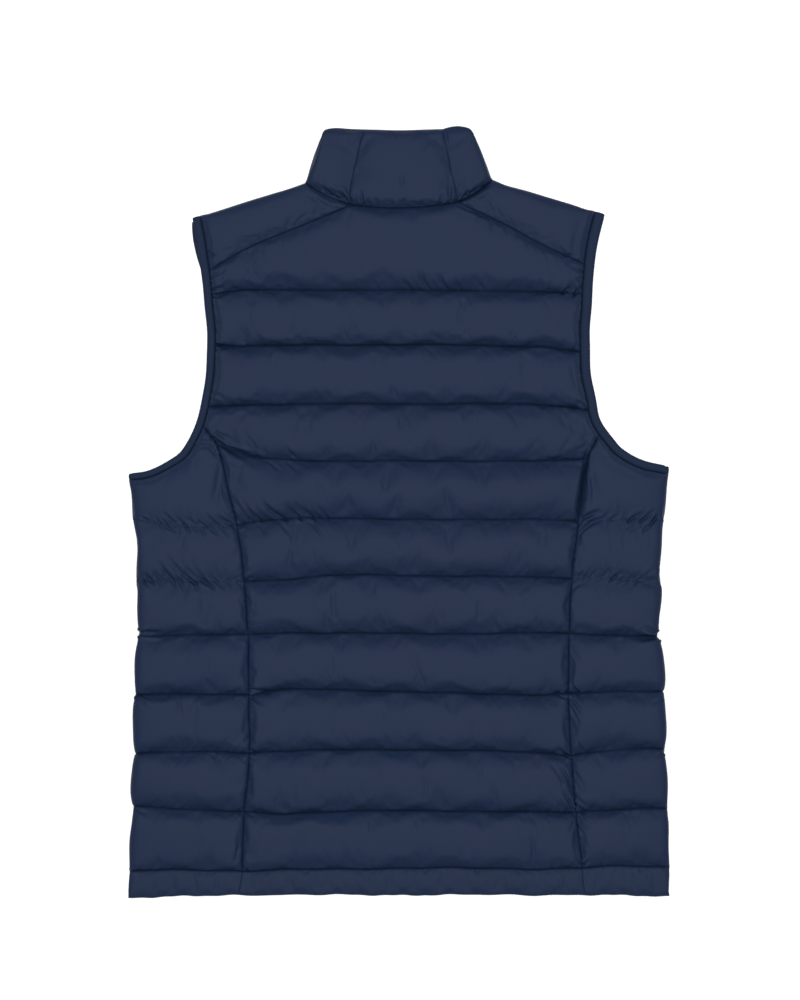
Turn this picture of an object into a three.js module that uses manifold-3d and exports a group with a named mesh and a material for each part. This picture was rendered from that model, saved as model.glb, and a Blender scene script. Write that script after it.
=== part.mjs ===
// Quilted vest, laid out flat on its front with the back up, in millimetres.
// +Y runs towards the collar and +Z is up. The origin lies on the surface, under the vest's middle.
// Left and right are the wearer's, so left is on the -X side.

import * as THREE from 'three';
import { mergeVertices } from 'three/addons/utils/BufferGeometryUtils.js';
import Module from 'manifold-3d';

const wasm = await Module();
wasm.setup();

const { lerp, degToRad } = THREE.MathUtils;
const point = (x, y) => new THREE.Vector2(x, y);
const between = (a, b, share) => new THREE.Vector2().lerpVectors(a, b, share);

// The two layers of cloth: the fronts lie under the back, with their plain insides facing
const FRONT_INSIDE = 8;
const LAYER_GAP = 0.3;
const BACK_INSIDE = FRONT_INSIDE + LAYER_GAP;

// Thickness of the padded wall at its seams and at the crown of each quilted band
const SEAM_THICKNESS = 3.2;
const BACK_CROWN = 11.5;
const SIDE_CROWN = 10.5;
const SHOULDER_CROWN = 9.5;
const COLLAR_CROWN = 8.5;
const HEM_THICKNESS = 4.6;

// How far from a seam the padding reaches its full thickness, on the free back and the pressed front
const BACK_RISE = 20;
const FRONT_RISE = 7;
const SIDE_RISE = 16;
const HEM_RISE = 3;

// Half the gap between two pieces that are sewn together
const SEAM_INSET = 0.15;

// Shares at which a wall has points: down a quilted band, up the collar and down the hem band,
// along a yoke seam from the armhole, along the back of the neck, and on both sides of a fold
const BAND_SHARES = [0, 0.14, 0.5, 0.86];
const COLLAR_SHARES = [0, 0.15, 0.5, 0.85, 1];
const HEM_SHARES = [0, 0.12, 0.88, 1];
const YOKE_SHARES = [0, 0.06, 0.17, 0.39, 0.67, 1];
const NECK_SHARES = [0, 0.25, 0.5, 0.75, 1];
const SHOULDER_SHARES = [0, 0.2, 0.6];
const SIDE_SHARES = [0, 0.08, 0.3, 0.65];
const UNDER_SHARES = [0.4, 0.85, 1];
const FOLD_ANGLES = [90, 45, 0, -45, -90];

// Quilt lines across the back: their Y at shares of the panel's width from the left
const LINE_SHARES = [0, 0.1, 0.3, 0.6, 0.9, 1];
const BACK_LINES = [
  // at 0, 0.1, 0.3, 0.6, 0.9, 1
  [218, 222, 222, 222, 220, 218],
  [167, 166, 167, 167, 165, 160],
  [105, 107, 108, 108, 107, 102],
  [67, 55, 51, 51, 51, 54],
  [-13, -8, -6, -8, -7, -10],
  [-69, -68, -63, -64, -65, -66],
  [-123, -121, -121, -122, -121, -122],
  [-183, -178, -178, -181, -183, -182],
  [-241, -239, -238, -238, -241, -243],
  [-300, -302, -299, -299, -300, -301],
  [-359, -358, -357, -356, -357, -356],
];
const FIRST_SIDE_LINE = 5;
const LAST_LINE = 11;

// The seams of the side panels start on the armhole, half way from line 3 to line 4
const CORNER_LINE = 3;
const CORNER_SHARE = 0.5;

// Quilt lines of the fronts at the zip, from line 2 to the hem's seam
const FIRST_FRONT_LINE = 2;
const ZIP_LINES = [165, 106, 52, -8, -70, -124, -181, -239, -296, -357];

// The zip's recess, the neckline and the collar's front
const ZIP_EDGE = 7;
const NECK_DROP = 75;
const COLLAR_DROP = 56;
const NECK_YOKE_ANGLE = 45;
const NECK_BOW = 2;
const COLLAR_FOLD_BOW = 1.8;
const FRONT_YOKE_Y = 225;
const FRONT_SEAM_X = 208;
const HEM_MIDDLE_Y = -383;

// Outlines of the two sides, as [X, Y] points or as values beside the lines that they belong to
const SIDES = {
  left: {
    sign: -1,
    armhole: [[-207, 294], [-200, 254], [-196, 222], [-192, 172], [-193, 142], [-197, 112],
      [-206, 82], [-217, 62], [-230, 52], [-251, 42], [-270, 38]],
    bindingWidth: [9, 7],
    // how much deeper the front's armhole is, at ARMHOLE_SHIFT_SHARES
    frontShift: [0, -3, 1, 9, 7, 0],
    yoke: [241, 266, 283.5, 307],
    yokeNeck: [-46.5, 307],
    neckFold: [-94, 329],
    collarSeam: [[-46.5, 307], [-49, 320], [-43, 351], [-35, 382.5]],
    collarTop: [[-35, 382.5], [-56, 383.5], [-77, 378]],
    // the princess seam's [X, Y] below its top on the armhole
    princess: [[-182, 67], [-170, 19], [-162, -13], [-154.8, -69], [-151, -123], [-150.3, -183],
      [-149.4, -241], [-154.7, -300], [-157, -359], [-160.5, -383]],
    // lines 5 to 11: Y half way to the fold, Y at the fold, X of the fold, X of the fold below the line
    sideLines: [
      [-15, -8, -266, -263.5],
      [-70, -68, -262.5, -262],
      [-123, -124, -261, -264.5],
      [-182, -183, -263, -266.5],
      [-240, -241, -263, -268],
      [-297, -294, -265, -269.5],
      [-358, -359, -270, -270.5],
    ],
    hemFold: [-271, -386],
  },
  right: {
    sign: 1,
    armhole: [[206, 298], [197, 258], [193, 212], [191, 177], [192, 142], [197, 112],
      [202, 92], [215, 72], [225, 62], [245, 52], [270, 45]],
    bindingWidth: [11, 8],
    frontShift: [0, 1, 3, 9, 7, 0],
    yoke: [247.6, 265, 285.5, 309.7],
    yokeNeck: [58.4, 309.7],
    neckFold: [93.5, 332.5],
    collarSeam: [[58.4, 309.7], [57, 320], [50, 351], [44, 383]],
    collarTop: [[44, 383], [60, 387], [75, 378]],
    princess: [[188.5, 54], [183, 19], [179, -10], [172.7, -66], [170, -122], [169.3, -182],
      [172, -243], [177, -301], [183, -356], [185.6, -383]],
    sideLines: [
      [-8, -8, 265, 262.5],
      [-67, -74, 262, 262],
      [-123, -125, 258, 265.5],
      [-180, -179, 263.5, 267.5],
      [-238, -237, 265.5, 268.5],
      [-297, -296, 268.5, 270.5],
      [-354, -355, 270.5, 271],
    ],
    hemFold: [271, -384.5],
  },
};
const YOKE_TABLE_SHARES = [0, 0.3, 0.6, 1];
const ARMHOLE_SHIFT_SHARES = [0, 0.06, 0.16, 0.5, 0.8, 1];

// The zip: a coil between two tapes, its slider at the top and a pull that turns on the slider
const TAPE_WIDTH = 3.9;
const TAPE_BOTTOM = 4.6;
const TAPE_THICKNESS = 1;
const COIL_WIDTH = 5;
const COIL_THICKNESS = 1.5;
const ZIP_TOP = 318;
const SLIDER_LENGTH = 13;
const SLIDER_WIDTH = 8.6;
const SLIDER_PLATE = 1;
const SLIDER_OUTER_PLATE_BOTTOM = 3;
const SLIDER_INNER_PLATE_BOTTOM = 6.2;
const BRIDGE_WIDTH = 2;
const BRIDGE_LENGTH = 8;
const BRIDGE_LEG = 1.2;
const BRIDGE_BOTTOM = 0.3;
const BRIDGE_THICKNESS = 0.8;
const PULL_LENGTH = 28;
const PULL_WIDTH = 6.4;
const PULL_THICKNESS = 1.2;
const PULL_WINDOW_LENGTH = 6;
const PULL_WINDOW_WIDTH = 3.2;
const PULL_BAR = 1.2;
const PULL_AXIS_Y = 315.5;
const PULL_AXIS_Z = 2.05;

// A smooth curve of one value over another, through the points of a short table
function smoothTable(stations, values) {
  const last = stations.length - 1;
  const slopes = values.map((_, k) => {
    const before = Math.max(k - 1, 0);
    const after = Math.min(k + 1, last);
    return (values[after] - values[before]) / (stations[after] - stations[before]);
  });
  return (station) => {
    let k = 0;
    while (k < last - 1 && station > stations[k + 1]) k += 1;
    const span = stations[k + 1] - stations[k];
    const u = THREE.MathUtils.clamp((station - stations[k]) / span, 0, 1);
    const stay = (1 + 2 * u) * (1 - u) ** 2 * values[k] + u * u * (3 - 2 * u) * values[k + 1];
    const lean = u * (1 - u) ** 2 * slopes[k] - u * u * (1 - u) * slopes[k + 1];
    return stay + span * lean;
  };
}

// A smooth curve in the plane through a few points, as a function of the share of the way along it
function smoothPath(points) {
  const curve = new THREE.SplineCurve(points.map(([x, y]) => point(x, y)));
  return (share) => curve.getPoint(share);
}

// How much of its full thickness the padding has at a distance from a seam
function rise(distance, reach) {
  const u = Math.min(distance / reach, 1);
  return Math.sqrt(1 - (1 - u) ** 2);
}

// Points between two opposite edges, led by the other two edges, as rows of points
function patch(top, bottom, first, last, rowShares, columnShares) {
  return rowShares.map((row, i) => columnShares.map((column, j) => {
    const across = between(first[i], last[i], column);
    const down = between(top[j], bottom[j], row);
    const cornersTop = between(first[0], last[0], column);
    const cornersBottom = between(first[first.length - 1], last[last.length - 1], column);
    return across.add(down).sub(between(cornersTop, cornersBottom, row));
  }));
}

// One armhole's edge in one layer: the binding's outer edge and the seam along its inner edge
function armholeEdge(side, layer) {
  const { sign, bindingWidth, frontShift, neckFold } = side;
  const curve = new THREE.SplineCurve(side.armhole.map(([x, y]) => point(x, y)));
  const shift = smoothTable(ARMHOLE_SHIFT_SHARES, frontShift);
  const tip = curve.getPoint(0);
  const alongShoulder = point(...neckFold).sub(tip).normalize();
  const intoCloth = (t) => {
    if (t <= 0) return alongShoulder.clone();
    if (t >= 1) return point(0, -1);
    const tangent = curve.getTangent(t);
    return point(tangent.y * sign, -tangent.x * sign);
  };
  const outer = (t) => {
    const depth = layer === 'front' ? shift(t) : 0;
    return curve.getPoint(t).addScaledVector(intoCloth(t), depth);
  };
  const inner = (t, extra = 0) => {
    const width = lerp(bindingWidth[0], bindingWidth[1], t) + extra;
    return outer(t).addScaledVector(intoCloth(t), width);
  };
  // the place on the inner edge that has a given Y
  const atY = (y) => {
    let low = 0;
    let high = 1;
    for (let step = 0; step < 40; step += 1) {
      const middle = (low + high) / 2;
      if (inner(middle).y > y) low = middle;
      else high = middle;
    }
    return (low + high) / 2;
  };
  return { outer, inner, atY, alongShoulder };
}

// The places where the pieces of one side meet
function sideShape(side) {
  const end = side.sign < 0 ? 0 : LINE_SHARES.length - 1;
  const back = armholeEdge(side, 'back');
  const front = armholeEdge(side, 'front');
  const lineEnd = (line) => (line === 0 ? side.yoke[0] : BACK_LINES[line - 1][end]);
  const cornerY = lerp(lineEnd(CORNER_LINE), lineEnd(CORNER_LINE + 1), CORNER_SHARE);
  const corner = back.inner(back.atY(cornerY));
  const seam = [corner.toArray(), ...side.princess];
  const princessX = smoothTable(seam.map(([, y]) => -y), seam.map(([x]) => x));
  const backEdge = (y) => (y >= cornerY ? back.inner(back.atY(y)) : point(princessX(-y), y));

  // the fronts' lines run level from the side fold
  const frontLineEnd = (line) => {
    if (line >= FIRST_SIDE_LINE) return side.sideLines[line - FIRST_SIDE_LINE][1];
    return ZIP_LINES[line - FIRST_FRONT_LINE];
  };
  const frontCornerY = lerp(frontLineEnd(CORNER_LINE), frontLineEnd(CORNER_LINE + 1), CORNER_SHARE);
  const frontCorner = front.inner(front.atY(frontCornerY));
  const frontSeamX = (y) => {
    const share = (frontCornerY - y) / (frontCornerY - HEM_MIDDLE_Y);
    return lerp(frontCorner.x, side.sign * FRONT_SEAM_X, share);
  };
  const frontEdge = (y) => (y >= frontCornerY ? front.inner(front.atY(y)) : point(frontSeamX(y), y));

  // the yoke seams of the back and the front, from the armhole to the neck
  const yokeY = smoothTable(YOKE_TABLE_SHARES, side.yoke);
  const yokeStart = back.inner(back.atY(side.yoke[0]));
  const yokeSeam = (share) => point(lerp(yokeStart.x, side.yokeNeck[0], share), yokeY(share));
  const frontYokeStart = front.inner(front.atY(FRONT_YOKE_Y));
  const neckFold = point(...side.neckFold);
  const neckline = (angle) => {
    const turn = degToRad(angle);
    return point(neckFold.x * Math.cos(turn), neckFold.y - NECK_DROP * Math.sin(turn));
  };
  const frontYoke = (share) => between(frontYokeStart, neckline(NECK_YOKE_ANGLE), share);
  const zipAngle = THREE.MathUtils.radToDeg(Math.acos(ZIP_EDGE / Math.abs(neckFold.x)));

  // the back of the neck seam, from the yoke seam up to the fold
  const yokeNeck = point(...side.yokeNeck);
  const neckOut = neckFold.clone().sub(yokeNeck).normalize();
  const backNeck = (share) => {
    const at = between(yokeNeck, neckFold, share);
    at.y -= NECK_BOW * Math.sin(Math.PI * share);
    return at;
  };
  return {
    ...side, back, front, lineEnd, cornerY, backEdge, frontLineEnd, frontCornerY, frontEdge,
    yokeSeam, frontYoke, neckFold, neckline, zipAngle, backNeck, neckOut,
  };
}

const LEFT = sideShape(SIDES.left);
const RIGHT = sideShape(SIDES.right);

// Walls

// Moves a wall's edge points in by half a seam's gap, square to the edge
function insetEdges(outer, inner) {
  const lastRow = outer.length - 1;
  const lastColumn = outer[0].length - 1;
  const moves = [];
  const edge = (i, j, before, after, inside) => {
    const here = outer[i][j];
    const inward = point(inside.x - here.x, inside.y - here.y);
    const along = point(after.x - before.x, after.y - before.y);
    if (along.length() > 0.3 * after.distanceTo(before)) {
      along.normalize();
      inward.addScaledVector(along, -inward.dot(along));
    }
    moves.push([i, j, inward.normalize().multiplyScalar(SEAM_INSET)]);
  };
  for (let j = 0; j <= lastColumn; j += 1) {
    const a = Math.max(j - 1, 0);
    const b = Math.min(j + 1, lastColumn);
    edge(0, j, outer[0][a], outer[0][b], outer[1][j]);
    edge(lastRow, j, outer[lastRow][a], outer[lastRow][b], outer[lastRow - 1][j]);
  }
  for (let i = 0; i <= lastRow; i += 1) {
    const a = Math.max(i - 1, 0);
    const b = Math.min(i + 1, lastRow);
    edge(i, 0, outer[a][0], outer[b][0], outer[i][1]);
    edge(i, lastColumn, outer[a][lastColumn], outer[b][lastColumn], outer[i][lastColumn - 1]);
  }
  for (const [i, j, move] of moves) {
    for (const face of [outer, inner]) {
      face[i][j].x += move.x;
      face[i][j].y += move.y;
    }
  }
}

// A closed shape from its corners and faces, turned so that its faces point out
function closedGeometry(positions, triangles) {
  let volume = 0;
  for (const [a, b, c] of triangles) {
    volume += positions[a].dot(new THREE.Vector3().crossVectors(positions[b], positions[c])) / 6;
  }
  const facing = volume > 0 ? triangles : triangles.map(([a, b, c]) => [a, c, b]);
  const geometry = new THREE.BufferGeometry();
  const numbers = positions.flatMap((at) => at.toArray());
  geometry.setAttribute('position', new THREE.Float32BufferAttribute(numbers, 3));
  geometry.setIndex(facing.flat());
  geometry.computeVertexNormals();
  return geometry;
}

// A wall between an outer and an inner face, given as rows of points, with its four edges closed
function wallGeometry(outer, inner) {
  insetEdges(outer, inner);
  const rows = outer.length;
  const columns = outer[0].length;
  const positions = [...outer.flat(), ...inner.flat()];
  const out = (i, j) => i * columns + j;
  const within = (i, j) => (rows + i) * columns + j;
  const triangles = [];
  const quad = (a, b, c, d) => triangles.push([a, b, c], [a, c, d]);
  for (let i = 0; i + 1 < rows; i += 1) {
    for (let j = 0; j + 1 < columns; j += 1) {
      quad(out(i, j), out(i + 1, j), out(i + 1, j + 1), out(i, j + 1));
      quad(within(i, j), within(i, j + 1), within(i + 1, j + 1), within(i + 1, j));
    }
  }
  for (let i = 0; i + 1 < rows; i += 1) {
    const j = columns - 1;
    quad(out(i, 0), within(i, 0), within(i + 1, 0), out(i + 1, 0));
    quad(out(i, j), out(i + 1, j), within(i + 1, j), within(i, j));
  }
  for (let j = 0; j + 1 < columns; j += 1) {
    const i = rows - 1;
    quad(out(0, j), out(0, j + 1), within(0, j + 1), within(0, j));
    quad(out(i, j), within(i, j), within(i, j + 1), out(i, j + 1));
  }
  return closedGeometry(positions, triangles);
}

// A wall that lies in one layer, from rows of points with a thickness at each
function flatWall(grid, thickness, layer) {
  const inside = layer === 'back' ? BACK_INSIDE : FRONT_INSIDE;
  const out = layer === 'back' ? 1 : -1;
  const outer = grid.map((row, i) => row.map((at, j) => (
    new THREE.Vector3(at.x, at.y, inside + out * thickness(i, j)))));
  const inner = grid.map((row) => row.map((at) => new THREE.Vector3(at.x, at.y, inside)));
  return wallGeometry(outer, inner);
}

// One line across a piece that turns under at a fold: over the back to the fold's tip, round it and
// on under the front. Each place is { at, thick }, and out points out over the tip.
function foldedLine({ back, tip, tipBack, tipFront, out, front }) {
  const radius = (tipBack + tipFront + LAYER_GAP) / 2;
  const middle = tip.clone().addScaledVector(out, -radius);
  const middleZ = (BACK_INSIDE + tipBack + FRONT_INSIDE - tipFront) / 2;
  const insideZ = (BACK_INSIDE + FRONT_INSIDE) / 2;
  const outer = [];
  const inner = [];
  for (const { at, thick } of back) {
    outer.push(new THREE.Vector3(at.x, at.y, BACK_INSIDE + thick));
    inner.push(new THREE.Vector3(at.x, at.y, BACK_INSIDE));
  }
  for (const angle of FOLD_ANGLES) {
    const reach = Math.cos(degToRad(angle));
    const height = Math.sin(degToRad(angle));
    const outside = middle.clone().addScaledVector(out, reach * radius);
    const inside = middle.clone().addScaledVector(out, reach * LAYER_GAP);
    outer.push(new THREE.Vector3(outside.x, outside.y, middleZ + height * radius));
    inner.push(new THREE.Vector3(inside.x, inside.y, insideZ + height * LAYER_GAP / 2));
  }
  for (const { at, thick } of front) {
    outer.push(new THREE.Vector3(at.x, at.y, FRONT_INSIDE - thick));
    inner.push(new THREE.Vector3(at.x, at.y, FRONT_INSIDE));
  }
  return { outer, inner };
}

function foldedWall(lines) {
  const made = lines.map(foldedLine);
  return wallGeometry(made.map((line) => line.outer), made.map((line) => line.inner));
}

// Thickness of padding between seams above and below and seams on both sides
function padding(crown, reach, along, across) {
  const share = rise(along, reach) * rise(across, SIDE_RISE);
  return SEAM_THICKNESS + (crown - SEAM_THICKNESS) * share;
}

// Pieces of the back

// The columns that the centre back, the yoke seams, the collar and the hem share
function backTopLine() {
  const leftYoke = YOKE_SHARES.map((share) => LEFT.yokeSeam(share));
  const rightYoke = YOKE_SHARES.map((share) => RIGHT.yokeSeam(share)).reverse();
  const neck = neckLine();
  return [...leftYoke, ...neck.slice(1, -1), ...rightYoke];
}

// The back of the neck seam between the two yoke seams, bowed a little down in the middle
function neckLine() {
  return NECK_SHARES.map((share) => {
    const at = between(point(...LEFT.yokeNeck), point(...RIGHT.yokeNeck), share);
    at.y -= 2 * NECK_BOW * Math.sin(Math.PI * share);
    return at;
  });
}

const TOP_LINE = backTopLine();
const BACK_COLUMNS = TOP_LINE.map((at) => (
  (at.x - TOP_LINE[0].x) / (TOP_LINE[TOP_LINE.length - 1].x - TOP_LINE[0].x)));

function backLine(line) {
  if (line === 0) return TOP_LINE;
  const height = smoothTable(LINE_SHARES, BACK_LINES[line - 1]);
  const first = LEFT.backEdge(LEFT.lineEnd(line));
  const last = RIGHT.backEdge(RIGHT.lineEnd(line));
  return BACK_COLUMNS.map((share) => point(lerp(first.x, last.x, share), height(share)));
}

function backPanel() {
  const grid = [];
  const places = [];
  for (let line = 0; line < LAST_LINE; line += 1) {
    const top = backLine(line);
    const bottom = backLine(line + 1);
    const shares = line + 1 === LAST_LINE ? [...BAND_SHARES, 1] : BAND_SHARES;
    const whole = [...BAND_SHARES, 1];
    const edge = (side) => whole.map((share) => (
      side.backEdge(lerp(side.lineEnd(line), side.lineEnd(line + 1), share))));
    const band = patch(top, bottom, edge(LEFT), edge(RIGHT), whole, BACK_COLUMNS);
    shares.forEach((share, k) => {
      grid.push(band[k]);
      places.push(band[k].map((_, j) => top[j].distanceTo(bottom[j]) * Math.min(share, 1 - share)));
    });
  }
  const thickness = (i, j) => {
    const row = grid[i];
    const across = Math.min(row[j].distanceTo(row[0]), row[j].distanceTo(row[row.length - 1]));
    return padding(BACK_CROWN, BACK_RISE, places[i][j], across);
  };
  return flatWall(grid, thickness, 'back');
}

// Side panels

// Rows of a side panel, as the share of the way between two lines and the places on its edges
function sideRows(side) {
  const rows = [];
  const addRow = (line, share) => {
    const y = lerp(side.lineEnd(line), side.lineEnd(line + 1), share);
    const frontY = lerp(side.frontLineEnd(line), side.frontLineEnd(line + 1), share);
    const top = line < FIRST_SIDE_LINE;
    const down = top ? (side.cornerY - y) / (side.cornerY - side.lineEnd(FIRST_SIDE_LINE)) : share;
    rows.push({ first: side.backEdge(y), last: side.frontEdge(frontY), line, share, top, down });
  };
  for (let line = CORNER_LINE; line < LAST_LINE; line += 1) {
    for (const share of BAND_SHARES) {
      if (line > CORNER_LINE || share >= CORNER_SHARE) addRow(line, share);
    }
  }
  addRow(LAST_LINE - 1, 1);
  return rows;
}

// The X and Y of the side fold beside a row, drawn in where a quilt line meets it
function foldPoint(side, row) {
  const armholeFold = side.back.inner(1);
  const [, lineY, lineX] = side.sideLines[0];
  if (row.top) return between(armholeFold, point(lineX, lineY), row.down);
  const from = side.sideLines[row.line - FIRST_SIDE_LINE];
  const to = side.sideLines[row.line - FIRST_SIDE_LINE + 1];
  const bulge = from[3] - (from[2] + to[2]) / 2;
  const swell = Math.sqrt(Math.max(Math.sin(Math.PI * row.share), 0));
  const x = lerp(from[2], to[2], row.share) + bulge * swell;
  return point(x, lerp(from[1], to[1], row.share));
}

// How far a quilt line bows from straight, half way from the princess seam to the fold
function lineBow(side, line) {
  const [middle, fold] = side.sideLines[line - FIRST_SIDE_LINE];
  return middle - (side.lineEnd(line) + fold) / 2;
}

// Points over the back of one row of a side panel, from the princess seam towards the fold
function sideRowPoints(side, row, fold) {
  const start = side.back.atY(side.cornerY);
  const corner = side.back.inner(start);
  const armholeFold = side.back.inner(1);
  return SIDE_SHARES.map((share) => {
    const at = between(row.first, fold, share);
    const arch = 4 * share * (1 - share);
    if (row.top) {
      const onArmhole = side.back.inner(lerp(start, 1, share));
      const bend = onArmhole.sub(between(corner, armholeFold, share));
      at.addScaledVector(bend, 1 - row.down);
      at.y += arch * lineBow(side, FIRST_SIDE_LINE) * row.down;
    } else {
      const bow = lerp(lineBow(side, row.line), lineBow(side, row.line + 1), row.share);
      at.y += arch * bow;
    }
    return at;
  });
}

// Points under the front of one row of a side panel, from the fold to the front's side seam
function underRowPoints(side, row, fold) {
  const start = side.front.atY(side.frontCornerY);
  const corner = side.front.inner(start);
  const armholeFold = side.front.inner(1);
  return UNDER_SHARES.map((share) => {
    const at = between(fold, row.last, share);
    if (!row.top) return at;
    const onArmhole = side.front.inner(lerp(1, start, share));
    const bend = onArmhole.sub(between(armholeFold, corner, share));
    return at.addScaledVector(bend, 1 - row.down);
  });
}

function sidePanel(side) {
  const rows = sideRows(side);
  const topRow = foldPoint(side, rows[0]);
  const lineRow = foldPoint(side, rows[rows.findIndex((row) => !row.top)]);
  const lines = rows.map((row) => {
    const fold = foldPoint(side, row);
    const away = Math.min(row.down, 1 - row.down);
    const height = (share) => {
      if (row.top) {
        const atSeam = side.cornerY - side.lineEnd(FIRST_SIDE_LINE);
        return lerp(atSeam, topRow.y - lineRow.y, share);
      }
      const from = side.sideLines[row.line - FIRST_SIDE_LINE];
      const to = side.sideLines[row.line - FIRST_SIDE_LINE + 1];
      return from[1] - to[1];
    };
    const over = sideRowPoints(side, row, fold);
    const back = over.map((at, k) => {
      const across = at.distanceTo(row.first);
      return { at, thick: padding(SIDE_CROWN, BACK_RISE, away * height(SIDE_SHARES[k]), across) };
    });
    const front = underRowPoints(side, row, fold).map((at) => {
      const across = at.distanceTo(row.last) * SIDE_RISE / FRONT_RISE;
      return { at, thick: padding(FRONT_INSIDE, FRONT_RISE, away * height(1), across) };
    });
    return {
      back,
      tip: fold,
      tipBack: padding(SIDE_CROWN, BACK_RISE, away * height(1), SIDE_RISE),
      tipFront: padding(FRONT_INSIDE, FRONT_RISE, away * height(1), SIDE_RISE),
      out: point(side.sign, 0),
      front,
    };
  });
  return foldedWall(lines);
}

// Shoulders

// The direction in which the fold points out, square to the shoulder fold
function shoulderOut(side) {
  const { alongShoulder } = side.back;
  return point(alongShoulder.y * side.sign, Math.abs(alongShoulder.x));
}

function shoulder(side) {
  const tip = side.back.inner(0);
  const backStart = side.back.atY(side.yoke[0]);
  const frontStart = side.front.atY(FRONT_YOKE_Y);
  const neckArmhole = (share) => side.back.inner(lerp(backStart, 0, share));
  const lines = YOKE_SHARES.map((column) => {
    const seam = side.yokeSeam(column);
    const fold = between(tip, side.neckFold, column);
    const out = between(shoulderOut(side), side.neckOut, column).normalize();
    const across = Math.min(column, 1 - column) * tip.distanceTo(side.neckFold);
    const backLength = seam.distanceTo(fold);
    const back = SHOULDER_SHARES.map((share) => {
      const at = between(seam, fold, share);
      const armholeBend = neckArmhole(share).sub(between(side.yokeSeam(0), tip, share));
      const neckBend = side.backNeck(share).sub(between(side.yokeSeam(1), side.neckFold, share));
      at.addScaledVector(armholeBend, 1 - column).addScaledVector(neckBend, column);
      return { at, thick: padding(SHOULDER_CROWN, BACK_RISE, share * backLength, across) };
    });
    const frontSeam = side.frontYoke(column);
    const frontLength = fold.distanceTo(frontSeam);
    const front = UNDER_SHARES.map((share) => {
      const at = between(fold, frontSeam, share);
      const onArmhole = side.front.inner(lerp(0, frontStart, share));
      const armholeBend = onArmhole.sub(between(tip, side.frontYoke(0), share));
      const onNeck = side.neckline(share * NECK_YOKE_ANGLE);
      const neckBend = onNeck.sub(between(side.neckFold, side.frontYoke(1), share));
      at.addScaledVector(armholeBend, 1 - column).addScaledVector(neckBend, column);
      const fromSeam = (1 - share) * frontLength;
      const fromSide = across * SIDE_RISE / FRONT_RISE;
      return { at, thick: padding(FRONT_INSIDE, FRONT_RISE, fromSeam, fromSide) };
    });
    return {
      back,
      tip: fold,
      tipBack: padding(SHOULDER_CROWN, BACK_RISE, backLength, across),
      tipFront: padding(FRONT_INSIDE, FRONT_RISE, frontLength, across * SIDE_RISE / FRONT_RISE),
      out,
      front,
    };
  });
  return foldedWall(lines);
}

// Collar

const COLLAR_NECK_ANGLES = [60, 75];

function collarBack() {
  const bottom = neckLine();
  const top = NECK_SHARES.map((share) => (
    between(point(...LEFT.collarTop[0]), point(...RIGHT.collarTop[0]), share)));
  top.forEach((at, k) => {
    at.y -= NECK_BOW / 2 * Math.sin(Math.PI * NECK_SHARES[k]);
  });
  const seam = (side) => COLLAR_SHARES.map((share) => smoothPath(side.collarSeam)(share));
  const grid = patch(bottom, top, seam(LEFT), seam(RIGHT), COLLAR_SHARES, NECK_SHARES);
  const thickness = (i, j) => {
    const row = grid[i];
    const across = Math.min(row[j].distanceTo(row[0]), row[j].distanceTo(row[row.length - 1]));
    const up = COLLAR_SHARES[i];
    const along = Math.min(up, 1 - up) * bottom[j].distanceTo(top[j]);
    return padding(COLLAR_CROWN, BACK_RISE, along, across);
  };
  return flatWall(grid, thickness, 'back');
}

function collarSide(side) {
  const foldTop = point(...side.collarTop[2]);
  const seamAt = smoothPath(side.collarSeam);
  const topAt = smoothPath(side.collarTop);
  const topLine = (angle) => {
    const turn = degToRad(angle);
    return point(foldTop.x * Math.cos(turn), foldTop.y - COLLAR_DROP * Math.sin(turn));
  };
  const underAngles = UNDER_SHARES.map((share) => share * NECK_YOKE_ANGLE);
  const angles = [...underAngles, ...COLLAR_NECK_ANGLES, side.zipAngle];
  const topOut = point(side.sign, 0);
  const lines = COLLAR_SHARES.map((up) => {
    const seam = seamAt(up);
    const fold = between(side.neckFold, foldTop, up);
    fold.x += side.sign * COLLAR_FOLD_BOW * Math.sin(Math.PI * up);
    const along = Math.min(up, 1 - up) * side.neckFold.distanceTo(foldTop);
    const out = between(side.neckOut, topOut, up).normalize();
    const back = SHOULDER_SHARES.map((share) => {
      const at = between(seam, fold, share);
      const bottomBend = side.backNeck(share).sub(between(side.backNeck(0), side.neckFold, share));
      const topBend = topAt(share).sub(between(topAt(0), foldTop, share));
      at.addScaledVector(bottomBend, 1 - up).addScaledVector(topBend, up);
      const across = at.distanceTo(seam);
      return { at, thick: padding(COLLAR_CROWN, BACK_RISE, along, across) };
    });
    const front = angles.map((angle) => {
      const at = between(side.neckline(angle), topLine(angle), up);
      if (angle === side.zipAngle) at.x = side.sign * ZIP_EDGE;
      const across = (Math.abs(at.x) - ZIP_EDGE) * SIDE_RISE / FRONT_RISE;
      return { at, thick: padding(FRONT_INSIDE, FRONT_RISE, along, across) };
    });
    return {
      back,
      tip: fold,
      tipBack: padding(COLLAR_CROWN, BACK_RISE, along, SIDE_RISE),
      tipFront: padding(FRONT_INSIDE, FRONT_RISE, along, SIDE_RISE),
      out,
      front,
    };
  });
  return foldedWall(lines);
}

// Fronts

// The top edge of a front: its yoke seam from the armhole, then the neckline to the zip
function frontTopLine(side) {
  const yoke = YOKE_SHARES.map((share) => side.frontYoke(share));
  const neck = COLLAR_NECK_ANGLES.map((angle) => side.neckline(angle));
  const zip = side.neckline(side.zipAngle);
  return [...yoke, ...neck, point(side.sign * ZIP_EDGE, zip.y)];
}

function frontColumns(side) {
  const top = frontTopLine(side);
  const last = top[top.length - 1];
  return top.map((at) => (at.x - top[0].x) / (last.x - top[0].x));
}

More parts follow.
